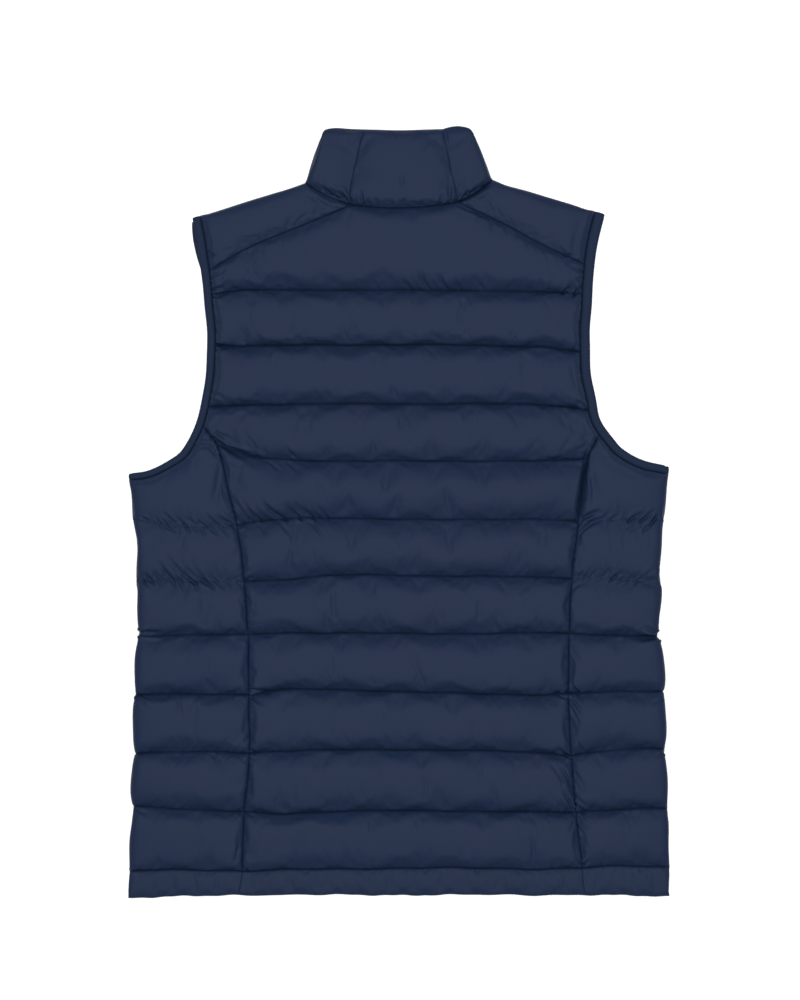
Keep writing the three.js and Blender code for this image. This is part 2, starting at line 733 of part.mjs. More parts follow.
function frontLine(side, line) {
  if (line < FIRST_FRONT_LINE) return frontTopLine(side);
  const zip = point(side.sign * ZIP_EDGE, ZIP_LINES[line - FIRST_FRONT_LINE]);
  const edge = side.frontEdge(side.frontLineEnd(line));
  return frontColumns(side).map((share) => between(edge, zip, share));
}

function frontPanel(side) {
  const grid = [];
  const places = [];
  const columns = frontColumns(side);
  const whole = [...BAND_SHARES, 1];
  for (let line = FIRST_FRONT_LINE - 1; line < LAST_LINE; line += 1) {
    const top = frontLine(side, line);
    const bottom = frontLine(side, line + 1);
    const fromY = top[0].y;
    const toY = bottom[0].y;
    const edge = whole.map((share) => side.frontEdge(lerp(fromY, toY, share)));
    const zip = whole.map((share) => between(top[top.length - 1], bottom[bottom.length - 1], share));
    const band = patch(top, bottom, edge, zip, whole, columns);
    const shares = line + 1 === LAST_LINE ? whole : BAND_SHARES;
    shares.forEach((share, k) => {
      grid.push(band[k]);
      places.push(band[k].map((_, j) => top[j].distanceTo(bottom[j]) * Math.min(share, 1 - share)));
    });
  }
  const thickness = (i, j) => {
    const row = grid[i];
    const across = Math.min(row[j].distanceTo(row[0]), row[j].distanceTo(row[row.length - 1]));
    return padding(FRONT_INSIDE, FRONT_RISE, places[i][j], across * SIDE_RISE / FRONT_RISE);
  };
  return flatWall(grid, thickness, 'front');
}

// Hem band

function hemThickness(share, length) {
  const along = Math.min(share, 1 - share) * length;
  return SEAM_THICKNESS + (HEM_THICKNESS - SEAM_THICKNESS) * rise(along, HEM_RISE);
}

function hemPrincess(side) {
  return point(side.princess[side.princess.length - 1][0], HEM_MIDDLE_Y);
}

function hemFrontSeam(side) {
  return point(side.sign * FRONT_SEAM_X, HEM_MIDDLE_Y);
}

function hemFlat(top, first, last, columns, layer) {
  const bottom = columns.map((share) => between(first, last, share));
  const edge = (from, to) => HEM_SHARES.map((share) => between(from, to, share));
  const lastTop = top[top.length - 1];
  const grid = patch(top, bottom, edge(top[0], first), edge(lastTop, last), HEM_SHARES, columns);
  const thickness = (i, j) => hemThickness(HEM_SHARES[i], top[j].distanceTo(bottom[j]));
  return flatWall(grid, thickness, layer);
}

function hemBack() {
  const top = backLine(LAST_LINE);
  return hemFlat(top, hemPrincess(LEFT), hemPrincess(RIGHT), BACK_COLUMNS, 'back');
}

function hemFront(side) {
  const top = frontLine(side, LAST_LINE);
  const zip = point(side.sign * ZIP_EDGE, HEM_MIDDLE_Y);
  return hemFlat(top, hemFrontSeam(side), zip, frontColumns(side), 'front');
}

function hemSide(side) {
  const rows = sideRows(side);
  const row = rows[rows.length - 1];
  const foldTop = foldPoint(side, row);
  const over = sideRowPoints(side, row, foldTop);
  const under = underRowPoints(side, row, foldTop);
  const hemFold = point(...side.hemFold);
  const length = foldTop.distanceTo(hemFold);
  const lines = HEM_SHARES.map((down) => {
    const thick = hemThickness(down, length);
    const overAt = (k) => between(over[k], between(hemPrincess(side), hemFold, SIDE_SHARES[k]), down);
    const underAt = (k) => between(under[k], between(hemFold, hemFrontSeam(side), UNDER_SHARES[k]), down);
    return {
      back: SIDE_SHARES.map((_, k) => ({ at: overAt(k), thick })),
      tip: between(foldTop, hemFold, down),
      tipBack: thick,
      tipFront: thick,
      out: point(side.sign, 0),
      front: UNDER_SHARES.map((_, k) => ({ at: underAt(k), thick })),
    };
  });
  return foldedWall(lines);
}

// Armhole binding: a flat tape along both layers' edges, joined round the shoulder and side folds

function bindingSection(outerAt, innerAt, inside, outside) {
  return [
    new THREE.Vector3(outerAt.x, outerAt.y, inside),
    new THREE.Vector3(innerAt.x, innerAt.y, inside),
    new THREE.Vector3(innerAt.x, innerAt.y, outside),
    new THREE.Vector3(outerAt.x, outerAt.y, outside),
  ];
}

// The tape's turn round a fold, from the back's side to the front's
function bindingTurn(outerAt, innerAt, out) {
  const radius = SEAM_THICKNESS + LAYER_GAP / 2;
  const middleZ = (BACK_INSIDE + FRONT_INSIDE) / 2;
  return FOLD_ANGLES.map((angle) => {
    const reach = Math.cos(degToRad(angle));
    const height = Math.sin(degToRad(angle));
    const place = (tip, distance, z) => {
      const at = tip.clone().addScaledVector(out, distance - radius);
      return new THREE.Vector3(at.x, at.y, z);
    };
    const insideZ = middleZ + height * LAYER_GAP / 2;
    const outsideZ = middleZ + height * radius;
    return [
      place(outerAt, reach * LAYER_GAP, insideZ),
      place(innerAt, reach * LAYER_GAP, insideZ),
      place(innerAt, reach * radius, outsideZ),
      place(outerAt, reach * radius, outsideZ),
    ];
  });
}

function armholeBinding(side) {
  const { back, front } = side;
  const yokeAt = back.atY(side.yoke[0]);
  const cornerAt = back.atY(side.cornerY);
  const frontYokeAt = front.atY(FRONT_YOKE_Y);
  const frontCornerAt = front.atY(side.frontCornerY);

  // the same stations as the pieces that it edges
  const backStations = SHOULDER_SHARES.map((share) => lerp(yokeAt, 0, share)).reverse();
  for (let line = 0; line <= CORNER_LINE; line += 1) {
    for (const share of BAND_SHARES) {
      const y = lerp(side.lineEnd(line), side.lineEnd(line + 1), share);
      if (y < side.lineEnd(0) && y > side.cornerY) backStations.push(back.atY(y));
    }
  }
  SIDE_SHARES.forEach((share) => backStations.push(lerp(cornerAt, 1, share)));
  const frontStations = UNDER_SHARES.map((share) => lerp(0, frontYokeAt, share));
  for (let line = FIRST_FRONT_LINE - 1; line <= CORNER_LINE; line += 1) {
    const from = line < FIRST_FRONT_LINE ? FRONT_YOKE_Y : side.frontLineEnd(line);
    for (const share of BAND_SHARES) {
      const y = lerp(from, side.frontLineEnd(line + 1), share);
      if (y < FRONT_YOKE_Y && y > side.frontCornerY) frontStations.push(front.atY(y));
    }
  }
  UNDER_SHARES.map((share) => lerp(1, frontCornerAt, share)).reverse()
    .forEach((at) => frontStations.push(at));

  const sections = [];
  for (const t of backStations) {
    const thick = BACK_INSIDE + SEAM_THICKNESS;
    sections.push(bindingSection(back.outer(t), back.inner(t, -SEAM_INSET), BACK_INSIDE, thick));
  }
  const underarm = point(side.sign, 0);
  sections.push(...bindingTurn(back.outer(1), back.inner(1, -SEAM_INSET), underarm));
  for (const t of frontStations.reverse()) {
    const thick = FRONT_INSIDE - SEAM_THICKNESS;
    sections.push(bindingSection(front.outer(t), front.inner(t, -SEAM_INSET), FRONT_INSIDE, thick));
  }
  const shoulderTurn = bindingTurn(back.outer(0), back.inner(0, -SEAM_INSET), shoulderOut(side));
  sections.push(...shoulderTurn.reverse());

  const triangles = [];
  const corners = 4;
  const place = (i, k) => (i % sections.length) * corners + (k % corners);
  for (let i = 0; i < sections.length; i += 1) {
    for (let k = 0; k < corners; k += 1) {
      triangles.push([place(i, k), place(i, k + 1), place(i + 1, k + 1)]);
      triangles.push([place(i, k), place(i + 1, k + 1), place(i + 1, k)]);
    }
  }
  return closedGeometry(sections.flat(), triangles);
}

// Zip

// A flat outline in X and Y, with any holes, raised from one height by a thickness
function plate(outline, holes, bottom, thickness) {
  const shape = new THREE.Shape(outline.map(([x, y]) => point(x, y)));
  holes.forEach((hole) => shape.holes.push(new THREE.Path(hole.map(([x, y]) => point(x, y)))));
  const geometry = new THREE.ExtrudeGeometry(shape, { depth: thickness, bevelEnabled: false });
  return geometry.translate(0, 0, bottom);
}

function rectangle(x0, x1, y0, y1) {
  return [[x0, y0], [x1, y0], [x1, y1], [x0, y1]];
}

function zipTape(side) {
  const edge = side.sign * (ZIP_EDGE - SEAM_INSET);
  const near = edge - side.sign * TAPE_WIDTH;
  const outline = rectangle(Math.min(edge, near), Math.max(edge, near), HEM_MIDDLE_Y, ZIP_TOP);
  return plate(outline, [], TAPE_BOTTOM, TAPE_THICKNESS);
}

function zipTeeth() {
  const bottom = TAPE_BOTTOM + (TAPE_THICKNESS - COIL_THICKNESS) / 2;
  const outline = rectangle(-COIL_WIDTH / 2, COIL_WIDTH / 2, HEM_MIDDLE_Y, ZIP_TOP);
  return plate(outline, [], bottom, COIL_THICKNESS);
}

// The slider in the YZ plane: two plates joined past the coil's end, and a bridge for the pull
function zipSlider() {
  const outerTop = SLIDER_OUTER_PLATE_BOTTOM + SLIDER_PLATE;
  const innerTop = SLIDER_INNER_PLATE_BOTTOM + SLIDER_PLATE;
  const top = PULL_AXIS_Y + SLIDER_LENGTH / 2;
  const bottom = PULL_AXIS_Y - SLIDER_LENGTH / 2;
  const joint = ZIP_TOP + 2 * SEAM_INSET;
  const body = [
    [bottom, SLIDER_OUTER_PLATE_BOTTOM], [top, SLIDER_OUTER_PLATE_BOTTOM], [top, innerTop],
    [bottom, innerTop], [bottom, SLIDER_INNER_PLATE_BOTTOM], [joint, SLIDER_INNER_PLATE_BOTTOM],
    [joint, outerTop], [bottom, outerTop],
  ];
  const low = PULL_AXIS_Y - BRIDGE_LENGTH / 2;
  const high = PULL_AXIS_Y + BRIDGE_LENGTH / 2;
  const openTop = BRIDGE_BOTTOM + BRIDGE_THICKNESS;
  const sink = SLIDER_OUTER_PLATE_BOTTOM + SLIDER_PLATE / 2;
  const bridge = [
    [low, sink], [low, BRIDGE_BOTTOM], [high, BRIDGE_BOTTOM], [high, sink],
    [high - BRIDGE_LEG, sink], [high - BRIDGE_LEG, openTop], [low + BRIDGE_LEG, openTop],
    [low + BRIDGE_LEG, sink],
  ];
  return joined(acrossX(body, SLIDER_WIDTH), acrossX(bridge, BRIDGE_WIDTH));
}

// An outline in Y and Z, given a width along X about the middle
function acrossX(outline, width) {
  const shape = new THREE.Shape(outline.map(([y, z]) => point(y, z)));
  const geometry = new THREE.ExtrudeGeometry(shape, { depth: width, bevelEnabled: false });
  const turn = new THREE.Matrix4().makeBasis(
    new THREE.Vector3(0, 1, 0), new THREE.Vector3(0, 0, 1), new THREE.Vector3(1, 0, 0));
  return geometry.applyMatrix4(turn).translate(-width / 2, 0, 0);
}

function zipPull() {
  const half = PULL_WIDTH / 2;
  const top = PULL_AXIS_Y + PULL_BAR / 2;
  const bottom = top - PULL_LENGTH;
  const round = 2;
  const outline = [
    [-half, top], [-half, bottom + round], [-half + round, bottom],
    [half - round, bottom], [half, bottom + round], [half, top],
  ];
  const windowTop = PULL_AXIS_Y - PULL_BAR / 2;
  const gap = PULL_WINDOW_WIDTH / 2;
  const window = rectangle(-gap, gap, windowTop - PULL_WINDOW_LENGTH, windowTop);
  return plate(outline, [window], PULL_AXIS_Z - PULL_THICKNESS / 2, PULL_THICKNESS);
}

function joined(first, second) {
  const [a, b] = [first, second].map((geometry) => {
    geometry.deleteAttribute('normal');
    geometry.deleteAttribute('uv');
    const merged = mergeVertices(geometry);
    return new wasm.Manifold(new wasm.Mesh({
      numProp: 3,
      vertProperties: new Float32Array(merged.attributes.position.array),
      triVerts: new Uint32Array(merged.index.array),
    }));
  });
  const mesh = a.add(b).getMesh();
  const geometry = new THREE.BufferGeometry();
  geometry.setAttribute('position', new THREE.BufferAttribute(mesh.vertProperties, 3));
  geometry.setIndex(new THREE.BufferAttribute(mesh.triVerts, 1));
  geometry.computeVertexNormals();
  return geometry;
}

// Materials and the whole vest

const FINISHES = {
  shell: { color: 0x2b3449, roughness: 0.55, metalness: 0 },
  tape: { color: 0x222c45, roughness: 0.8, metalness: 0 },
  zip: { color: 0x1c2438, roughness: 0.6, metalness: 0 },
  metal: { color: 0x2a2f3a, roughness: 0.35, metalness: 0.9 },
};

const vest = new THREE.Group();

function addPiece(name, geometry, finish) {
  const mesh = new THREE.Mesh(geometry, new THREE.MeshStandardMaterial(FINISHES[finish]));
  mesh.name = name;
  vest.add(mesh);
}

addPiece('back_panel', backPanel(), 'shell');
addPiece('collar_back', collarBack(), 'shell');
addPiece('hem_back', hemBack(), 'shell');
for (const [name, side] of [['left', LEFT], ['right', RIGHT]]) {
  addPiece(`side_panel_${name}`, sidePanel(side), 'shell');
  addPiece(`shoulder_${name}`, shoulder(side), 'shell');
  addPiece(`collar_${name}`, collarSide(side), 'shell');
  addPiece(`front_${name}`, frontPanel(side), 'shell');
  addPiece(`hem_side_${name}`, hemSide(side), 'shell');
  addPiece(`hem_front_${name}`, hemFront(side), 'shell');
  addPiece(`armhole_binding_${name}`, armholeBinding(side), 'tape');
  addPiece(`zip_tape_${name}`, zipTape(side), 'zip');
}
addPiece('zip_teeth', zipTeeth(), 'zip');
addPiece('zip_slider', zipSlider(), 'metal');
addPiece('zip_pull', zipPull(), 'metal');

export default vest;
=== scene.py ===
"""Quilted vest laid out flat on its front with the back up: the cloth, seams, stitches and zip.

The outlines are worked out in millimetres, as the pattern is, and become metres in the meshes.
+Y runs towards the collar, and left and right are the wearer's, so left is on the -X side.
"""

import math

import bmesh
import bpy
import numpy as np
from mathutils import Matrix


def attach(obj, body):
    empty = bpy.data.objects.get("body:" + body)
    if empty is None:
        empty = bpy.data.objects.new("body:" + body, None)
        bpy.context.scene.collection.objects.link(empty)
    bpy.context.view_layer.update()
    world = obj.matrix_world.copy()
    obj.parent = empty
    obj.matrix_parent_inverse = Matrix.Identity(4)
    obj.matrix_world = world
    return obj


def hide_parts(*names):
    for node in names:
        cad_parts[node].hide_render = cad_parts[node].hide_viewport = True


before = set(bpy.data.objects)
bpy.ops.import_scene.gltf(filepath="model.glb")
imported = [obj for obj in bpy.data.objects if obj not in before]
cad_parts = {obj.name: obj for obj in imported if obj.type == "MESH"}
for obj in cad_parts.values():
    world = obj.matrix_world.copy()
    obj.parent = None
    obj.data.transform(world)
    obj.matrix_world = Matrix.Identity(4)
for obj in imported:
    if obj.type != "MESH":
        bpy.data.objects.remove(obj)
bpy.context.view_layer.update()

MM = 0.001
# keeps the direction of a vector without length from failing
TINY = 1e-12

# Levels of the cloth: the fronts lie under the back, with their insides facing
FRONT_INSIDE = 8.0
LAYER_GAP = 0.3
BACK_INSIDE = FRONT_INSIDE + LAYER_GAP
MIDDLE_Z = (BACK_INSIDE + FRONT_INSIDE) / 2
# how far each piece reaches past its seams, so that no gap shows between two pieces
SEAM_REACH = 0.05

# Thickness of the padded wall at its seams and at the crown of each quilted band
SEAM_THICKNESS = 3.2
BACK_CROWN = 11.8
SIDE_CROWN = 10.8
SHOULDER_CROWN = 9.8
COLLAR_CROWN = 8.8
HEM_THICKNESS = 5.0

# How far from a seam the padding reaches its full thickness
FRONT_RISE = 9.0
HEM_RISE = 4.5

# how the padding rises beside each kind of seam on the back: its share of the full thickness at
# the seam itself, and the distance in which it becomes full
QUILTED = (0.0, 17.0)
# the reach of a quilt line is uneven: each wave's size, length, and shift from line to line
REACH_WAVES = ((0.17, 17.3, 2.3), (0.13, 7.9, 4.1))
PRINCESS = (0.55, 7.0)
ARMHOLE = (0.15, 6.0)
YOKE = (0.55, 7.0)
NECK = (0.15, 7.0)
COLLAR_BASE = (0.15, 19.0)
COLLAR_EDGE = (0.0, 7.0)
COLLAR_SEAM = (0.84, 7.0)
# the upper two quilt lines of the side panels hardly show: how deep they are, and how wide
WEAK_LINES = {5: (0.25, 10.0), 6: (0.4, 8.0)}
# how far the quilt lines 1 to 11 reach into the padding above them and below them, as shares of
# the usual reach: on the left side panel, on the back and on the right side panel, with the X
# where each begins and ends
REACH_STATIONS = (-205, -150, 150, 205)
REACHES_ABOVE = ((0.8, 0.85, 0.8), (0.6, 0.6, 0.7), (0.7, 0.7, 0.7), (1.0, 1.0, 1.0),
                 (1.4, 1.6, 1.4), (1.2, 1.35, 1.2), (0.8, 0.95, 0.6), (0.9, 0.55, 0.75),
                 (0.95, 0.6, 1.2), (1.1, 0.7, 0.8), (0.65, 0.65, 1.1))
REACHES_BELOW = ((0.7, 0.65, 0.7), (0.8, 0.75, 0.7), (0.9, 0.85, 0.9), (1.4, 1.7, 1.4),
                 (1.4, 1.7, 1.4), (1.1, 1.1, 1.1), (1.5, 1.35, 0.9), (0.7, 1.25, 1.4),
                 (0.95, 1.3, 1.1), (1.1, 0.85, 1.35), (1.0, 1.0, 1.0))

# Steps of the fine grids: the outer faces are dense, the plain inner ones take every fourth point,
# and the simulation runs on every second
BAND_ROWS = 28
FRONT_BAND_ROWS = 16
FOLD_STEPS = 12
INNER_STEP = 4
SIM_STEP = 2
# how much closer the rows of a band lie at its two seams
CROWDING = 0.55
# an armhole's edge: samples that find its places by height, the step that finds its direction,
# and the share at each end in which its binding turns square to the fold
ARMHOLE_SAMPLES = 1500
ARMHOLE_STEP = 0.002
ARMHOLE_END = 0.05
# the kinds of seam blend over this many columns beside the neck's corners, and over this height
# in millimetres beside the armhole's corner
NECK_BLEND = 4
CORNER_BLEND = 8

# Quilt lines across the back: their Y at shares of the panel's width from the left
LINE_SHARES = (0, 0.1, 0.3, 0.6, 0.9, 1)
BACK_LINES = (
    # at 0, 0.1, 0.3, 0.6, 0.9, 1
    (218, 222, 222, 222, 220, 218),
    (167, 166, 167, 167, 165, 160),
    (105, 107, 108, 108, 107, 102),
    (67, 55, 51, 51, 51, 54),
    (-13, -8, -6, -8, -7, -10),
    (-69, -68, -63, -64, -65, -66),
    (-123, -121, -121, -122, -121, -122),
    (-183, -178, -178, -181, -183, -182),
    (-241, -239, -238, -238, -241, -243),
    (-300, -302, -299, -299, -300, -301),
    (-359, -358, -357, -356, -357, -356),
)
FIRST_SIDE_LINE = 5
LAST_LINE = 11
CORNER_LINE = 3
CORNER_SHARE = 0.5
FIRST_FRONT_LINE = 2
ZIP_LINES = (165, 106, 52, -8, -70, -124, -181, -239, -296, -357)

# The zip's recess, the neckline and the collar's front
ZIP_EDGE = 7.0
NECK_DROP = 75.0
COLLAR_DROP = 56.0
NECK_YOKE_ANGLE = 45.0
NECK_BOW = 2.0
COLLAR_FOLD_BOW = 0.4
FRONT_YOKE_Y = 225.0
FRONT_SEAM_X = 208.0
HEM_MIDDLE_Y = -383.0

# Outlines of the two sides, as (X, Y) points or as values beside the lines that they belong to
SIDES = {
    "left": {
        "sign": -1,
        "armhole": ((-207, 294), (-200, 254), (-196, 222), (-192, 172), (-193, 142), (-197, 112),
                    (-206, 82), (-217, 62), (-230, 52), (-251, 42), (-270, 38)),
        "binding_width": (9, 7),
        # how much deeper the front's armhole is, at ARMHOLE_SHIFT_SHARES
        "front_shift": (0, -3, 1, 9, 7, 0),
        "yoke": (241, 266, 283.5, 307),
        "yoke_neck": (-46.5, 307),
        "neck_fold": (-94, 329),
        "collar_seam": ((-46.5, 307), (-49, 320), (-43, 351), (-35, 382.5)),
        "collar_top": ((-35, 382.5), (-49, 383.2), (-63, 384.2), (-73.5, 382.4), (-77, 378)),
        "princess": ((-182, 67), (-170, 19), (-162, -13), (-154.8, -69), (-151, -123),
                     (-150.3, -183), (-149.4, -241), (-154.7, -300), (-157, -359), (-160.5, -383)),
        # lines 5 to 11: Y half way to the fold, Y at the fold, X of the fold, X below the line
        "side_lines": ((-15, -8, -266, -263.5), (-70, -68, -262.5, -262),
                       (-123, -124, -261, -264.5), (-182, -183, -263, -266.5),
                       (-240, -241, -263, -268), (-297, -294, -265, -269.5),
                       (-358, -359, -270, -270.5)),
        "hem_fold": (-271, -386),
    },
    "right": {
        "sign": 1,
        "armhole": ((206, 298), (197, 258), (193, 212), (191, 177), (192, 142), (197, 112),
                    (202, 92), (215, 72), (225, 62), (245, 52), (270, 45)),
        "binding_width": (11, 8),
        "front_shift": (0, 1, 3, 9, 7, 0),
        "yoke": (247.6, 265, 285.5, 309.7),
        "yoke_neck": (58.4, 309.7),
        "neck_fold": (93.5, 332.5),
        "collar_seam": ((58.4, 309.7), (57, 320), (50, 351), (44, 383)),
        "collar_top": ((44, 383), (52, 385.4), (61, 386), (70.5, 383.6), (75, 378)),
        "princess": ((188.5, 54), (183, 19), (179, -10), (172.7, -66), (170, -122),
                     (169.3, -182), (172, -243), (177, -301), (183, -356), (185.6, -383)),
        "side_lines": ((-8, -8, 265, 262.5), (-67, -74, 262, 262), (-123, -125, 258, 265.5),
                       (-180, -179, 263.5, 267.5), (-238, -237, 265.5, 268.5),
                       (-297, -296, 268.5, 270.5), (-354, -355, 270.5, 271)),
        "hem_fold": (271, -384.5),
    },
}
YOKE_TABLE_SHARES = (0, 0.3, 0.6, 1)
ARMHOLE_SHIFT_SHARES = (0, 0.06, 0.16, 0.5, 0.8, 1)

# The camera looks straight down at the middle of the picture, from high enough to be nearly flat
CAMERA_HEIGHT = 4.0
CAMERA_AT = (0.001, 0.012)
CAMERA_LENS = 143.6


# Curves and patches of cloth

def mix(a, b, share):
    return a + (b - a) * share


def smooth_table(stations, values):
    """A smooth curve of one value over another, through the points of a short table."""
    stations = np.asarray(stations, float)
    values = np.asarray(values, float)
    last = len(values) - 1
    index = np.arange(last + 1)
    before = np.maximum(index - 1, 0)
    after = np.minimum(index + 1, last)
    slopes = (values[after] - values[before]) / (stations[after] - stations[before])

    def value(at):
        at = np.asarray(at, float)
        k = np.clip(np.searchsorted(stations, at) - 1, 0, last - 1)
        span = stations[k + 1] - stations[k]
        u = np.clip((at - stations[k]) / span, 0, 1)
        stay = (1 + 2 * u) * (1 - u) ** 2 * values[k] + u * u * (3 - 2 * u) * values[k + 1]
        lean = u * (1 - u) ** 2 * slopes[k] - u * u * (1 - u) * slopes[k + 1]
        return stay + span * lean
    return value


def smooth_path(points):
    """A smooth curve in the plane through a few points, over the share of the way along it."""
    points = np.asarray(points, float)
    last = len(points) - 1

    def at(share):
        share = np.clip(np.asarray(share, float), 0, 1) * last
        k = np.minimum(share.astype(int), last - 1)
        u = (share - k)[..., None]
        here, there = points[k], points[k + 1]
        out = (there - points[np.maximum(k - 1, 0)]) / 2
        back = (points[np.minimum(k + 2, last)] - here) / 2
        cubic = 2 * here - 2 * there + out + back
        square = 3 * there - 3 * here - 2 * out - back
        return ((cubic * u + square) * u + out) * u + here
    return at


def unit(vector):
    vector = np.asarray(vector, float)
    return vector / np.linalg.norm(vector, axis=-1, keepdims=True)


def rise(distance, reach):
    """How much of its full thickness the padding has at a distance from a seam."""
    u = np.clip(np.asarray(distance, float) / reach, 0, 1)
    return np.sqrt(1 - (1 - u) ** 2)


def crowded(count):
    """Shares from 0 to 1 that lie closer together at both ends."""
    u = np.linspace(0, 1, count + 1)
    return u - CROWDING * np.sin(2 * np.pi * u) / (2 * np.pi)


def patch(top, bottom, first, last, rows, columns):
    """Points between two opposite edges, led by the other two edges."""
    across = mix(first[:, None], last[:, None], columns[None, :, None])
    down = mix(top[None], bottom[None], rows[:, None, None])
    corners_top = mix(first[0], last[0], columns[:, None])
    corners_bottom = mix(first[-1], last[-1], columns[:, None])
    return across + down - mix(corners_top[None], corners_bottom[None], rows[:, None, None])


def steps(length, step):
    return max(int(round(length / step)), 2)


def armhole_edge(side, layer):
    """One armhole's edge in one layer: the binding's outer edge and the seam inside it."""
    curve = smooth_path(side["armhole"])
    shift = smooth_table(ARMHOLE_SHIFT_SHARES, side["front_shift"])
    tip = curve(0.0)
    along_shoulder = unit(np.subtract(side["neck_fold"], tip))
    sign = side["sign"]

    def into_cloth(t):
        t = np.asarray(t, float)
        ahead, behind = np.minimum(t + ARMHOLE_STEP, 1), np.maximum(t - ARMHOLE_STEP, 0)
        tangent = unit(curve(ahead) - curve(behind))
        normal = np.stack([tangent[..., 1] * sign, -tangent[..., 0] * sign], -1)
        near_tip = np.clip(1 - t / ARMHOLE_END, 0, 1)[..., None]
        near_end = np.clip((t - (1 - ARMHOLE_END)) / ARMHOLE_END, 0, 1)[..., None]
        normal = mix(normal, along_shoulder, near_tip)
        return unit(mix(normal, np.array([0.0, -1.0]), near_end))

    def outer(t):
        depth = shift(t) if layer == "front" else np.zeros_like(np.asarray(t, float))
        return curve(t) + into_cloth(t) * depth[..., None]

    def inner(t, extra=0.0):
        width = mix(*side["binding_width"], np.asarray(t, float)) + extra
        return outer(t) + into_cloth(t) * width[..., None]

    table_t = np.linspace(0, 1, ARMHOLE_SAMPLES)
    table_y = inner(table_t)[:, 1]

    def at_y(y):
        return np.interp(-np.asarray(y, float), -table_y, table_t)
    return {"outer": outer, "inner": inner, "at_y": at_y, "along_shoulder": along_shoulder}


class Side:
    """The seams and folds of one side of the vest."""

    def __init__(self, name):
        self.name = name
        self.table = SIDES[name]
        self.sign = self.table["sign"]
        self.back = armhole_edge(self.table, "back")
        self.front = armhole_edge(self.table, "front")
        self.lines = np.array([row[0 if self.sign < 0 else -1] for row in BACK_LINES], float)
        self.corner_y = mix(self.line_end(CORNER_LINE), self.line_end(CORNER_LINE + 1),
                            CORNER_SHARE)
        corner = self.back["inner"](self.back["at_y"](self.corner_y))
        seam = np.array([corner, *self.table["princess"]], float)
        self.princess_x = smooth_table(-seam[:, 1], seam[:, 0])
        self.front_corner_y = mix(self.front_line_end(CORNER_LINE),
                                  self.front_line_end(CORNER_LINE + 1), CORNER_SHARE)
        self.front_corner = self.front["inner"](self.front["at_y"](self.front_corner_y))
        self.neck_fold = np.array(self.table["neck_fold"], float)
        self.yoke_neck = np.array(self.table["yoke_neck"], float)
        self.yoke_start = self.back["inner"](self.back["at_y"](self.table["yoke"][0]))
        self.front_yoke_start = self.front["inner"](self.front["at_y"](FRONT_YOKE_Y))
        self.neck_out = unit(self.neck_fold - self.yoke_neck)
        self.zip_angle = math.degrees(math.acos(ZIP_EDGE / abs(self.neck_fold[0])))
        along = self.back["along_shoulder"]
        self.shoulder_out = np.array([along[1] * self.sign, abs(along[0])])

    def line_end(self, line):
        return self.table["yoke"][0] if line == 0 else self.lines[line - 1]

    def back_edge(self, y):
        y = np.atleast_1d(np.asarray(y, float))
        on_armhole = self.back["inner"](self.back["at_y"](y))
        on_princess = np.stack([self.princess_x(-y), y], -1)
        return np.where((y >= self.corner_y)[:, None], on_armhole, on_princess)

    def front_line_end(self, line):
        if line >= FIRST_SIDE_LINE:
            return self.table["side_lines"][line - FIRST_SIDE_LINE][1]
        return ZIP_LINES[line - FIRST_FRONT_LINE]

    def front_edge(self, y):
        y = np.atleast_1d(np.asarray(y, float))
        on_armhole = self.front["inner"](self.front["at_y"](y))
        share = (self.front_corner_y - y) / (self.front_corner_y - HEM_MIDDLE_Y)
        on_seam = np.stack([mix(self.front_corner[0], self.sign * FRONT_SEAM_X, share), y], -1)
        return np.where((y >= self.front_corner_y)[:, None], on_armhole, on_seam)

    def yoke_seam(self, share):
        share = np.asarray(share, float)
        height = smooth_table(YOKE_TABLE_SHARES, self.table["yoke"])
        return np.stack([mix(self.yoke_start[0], self.yoke_neck[0], share), height(share)], -1)

    def neckline(self, angle):
        turn = np.radians(np.asarray(angle, float))
        x = self.neck_fold[0] * np.cos(turn)
        return np.stack([x, self.neck_fold[1] - NECK_DROP * np.sin(turn)], -1)

    def front_yoke(self, share):
        end = self.neckline(NECK_YOKE_ANGLE)
        return mix(self.front_yoke_start, end, np.asarray(share, float)[..., None])

    def back_neck(self, share):
        share = np.asarray(share, float)
        at = mix(self.yoke_neck, self.neck_fold, share[..., None])
        at[..., 1] -= NECK_BOW * np.sin(np.pi * share)
        return at


LEFT = Side("left")
RIGHT = Side("right")


def fill(distance, seam):
    """The share of its full thickness that the padding has at a distance from a kind of seam."""
    return mix(seam[0], 1.0, rise(distance, seam[1]))


def padding(crown, *shares):
    """Thickness of padding with a crown, from its shares beside the seams round it."""
    return SEAM_THICKNESS + (crown - SEAM_THICKNESS) * math.prod(shares)


def under_padding(along, across):
    return padding(FRONT_INSIDE, rise(along, FRONT_RISE), rise(across, FRONT_RISE))


def quilt_line(line, x, reaches):
    """The kind of seam of a quilt line beside places at x, as uneven as the padding under it."""
    left, middle, right = reaches[line - 1]
    reach = np.interp(x, REACH_STATIONS, (left, middle, middle, right))
    uneven = 1
    for size, length, shift in REACH_WAVES:
        uneven = uneven + size * np.sin(x / length + shift * line)
    return QUILTED[0], QUILTED[1] * reach * uneven


def blend_seams(first, second, share):
    """A kind of seam between two others, for a seam that changes along its run."""
    return [mix(a, b, share) for a, b in zip(first, second)]


def eased(share):
    share = np.clip(share, 0, 1)
    return share * share * (3 - 2 * share)


def from_ends(grid):
    """Distances of each point of a grid from the first and the last end of its row."""
    return [np.linalg.norm(grid - end, axis=-1) for end in (grid[:, :1], grid[:, -1:])]


def arc_lengths(points):
    """Distance along a line of points from its first one, the same for rows of lines."""
    lengths = np.linalg.norm(np.diff(points, axis=-2), axis=-1)
    return np.concatenate([np.zeros_like(lengths[..., :1]), np.cumsum(lengths, -1)], -1)


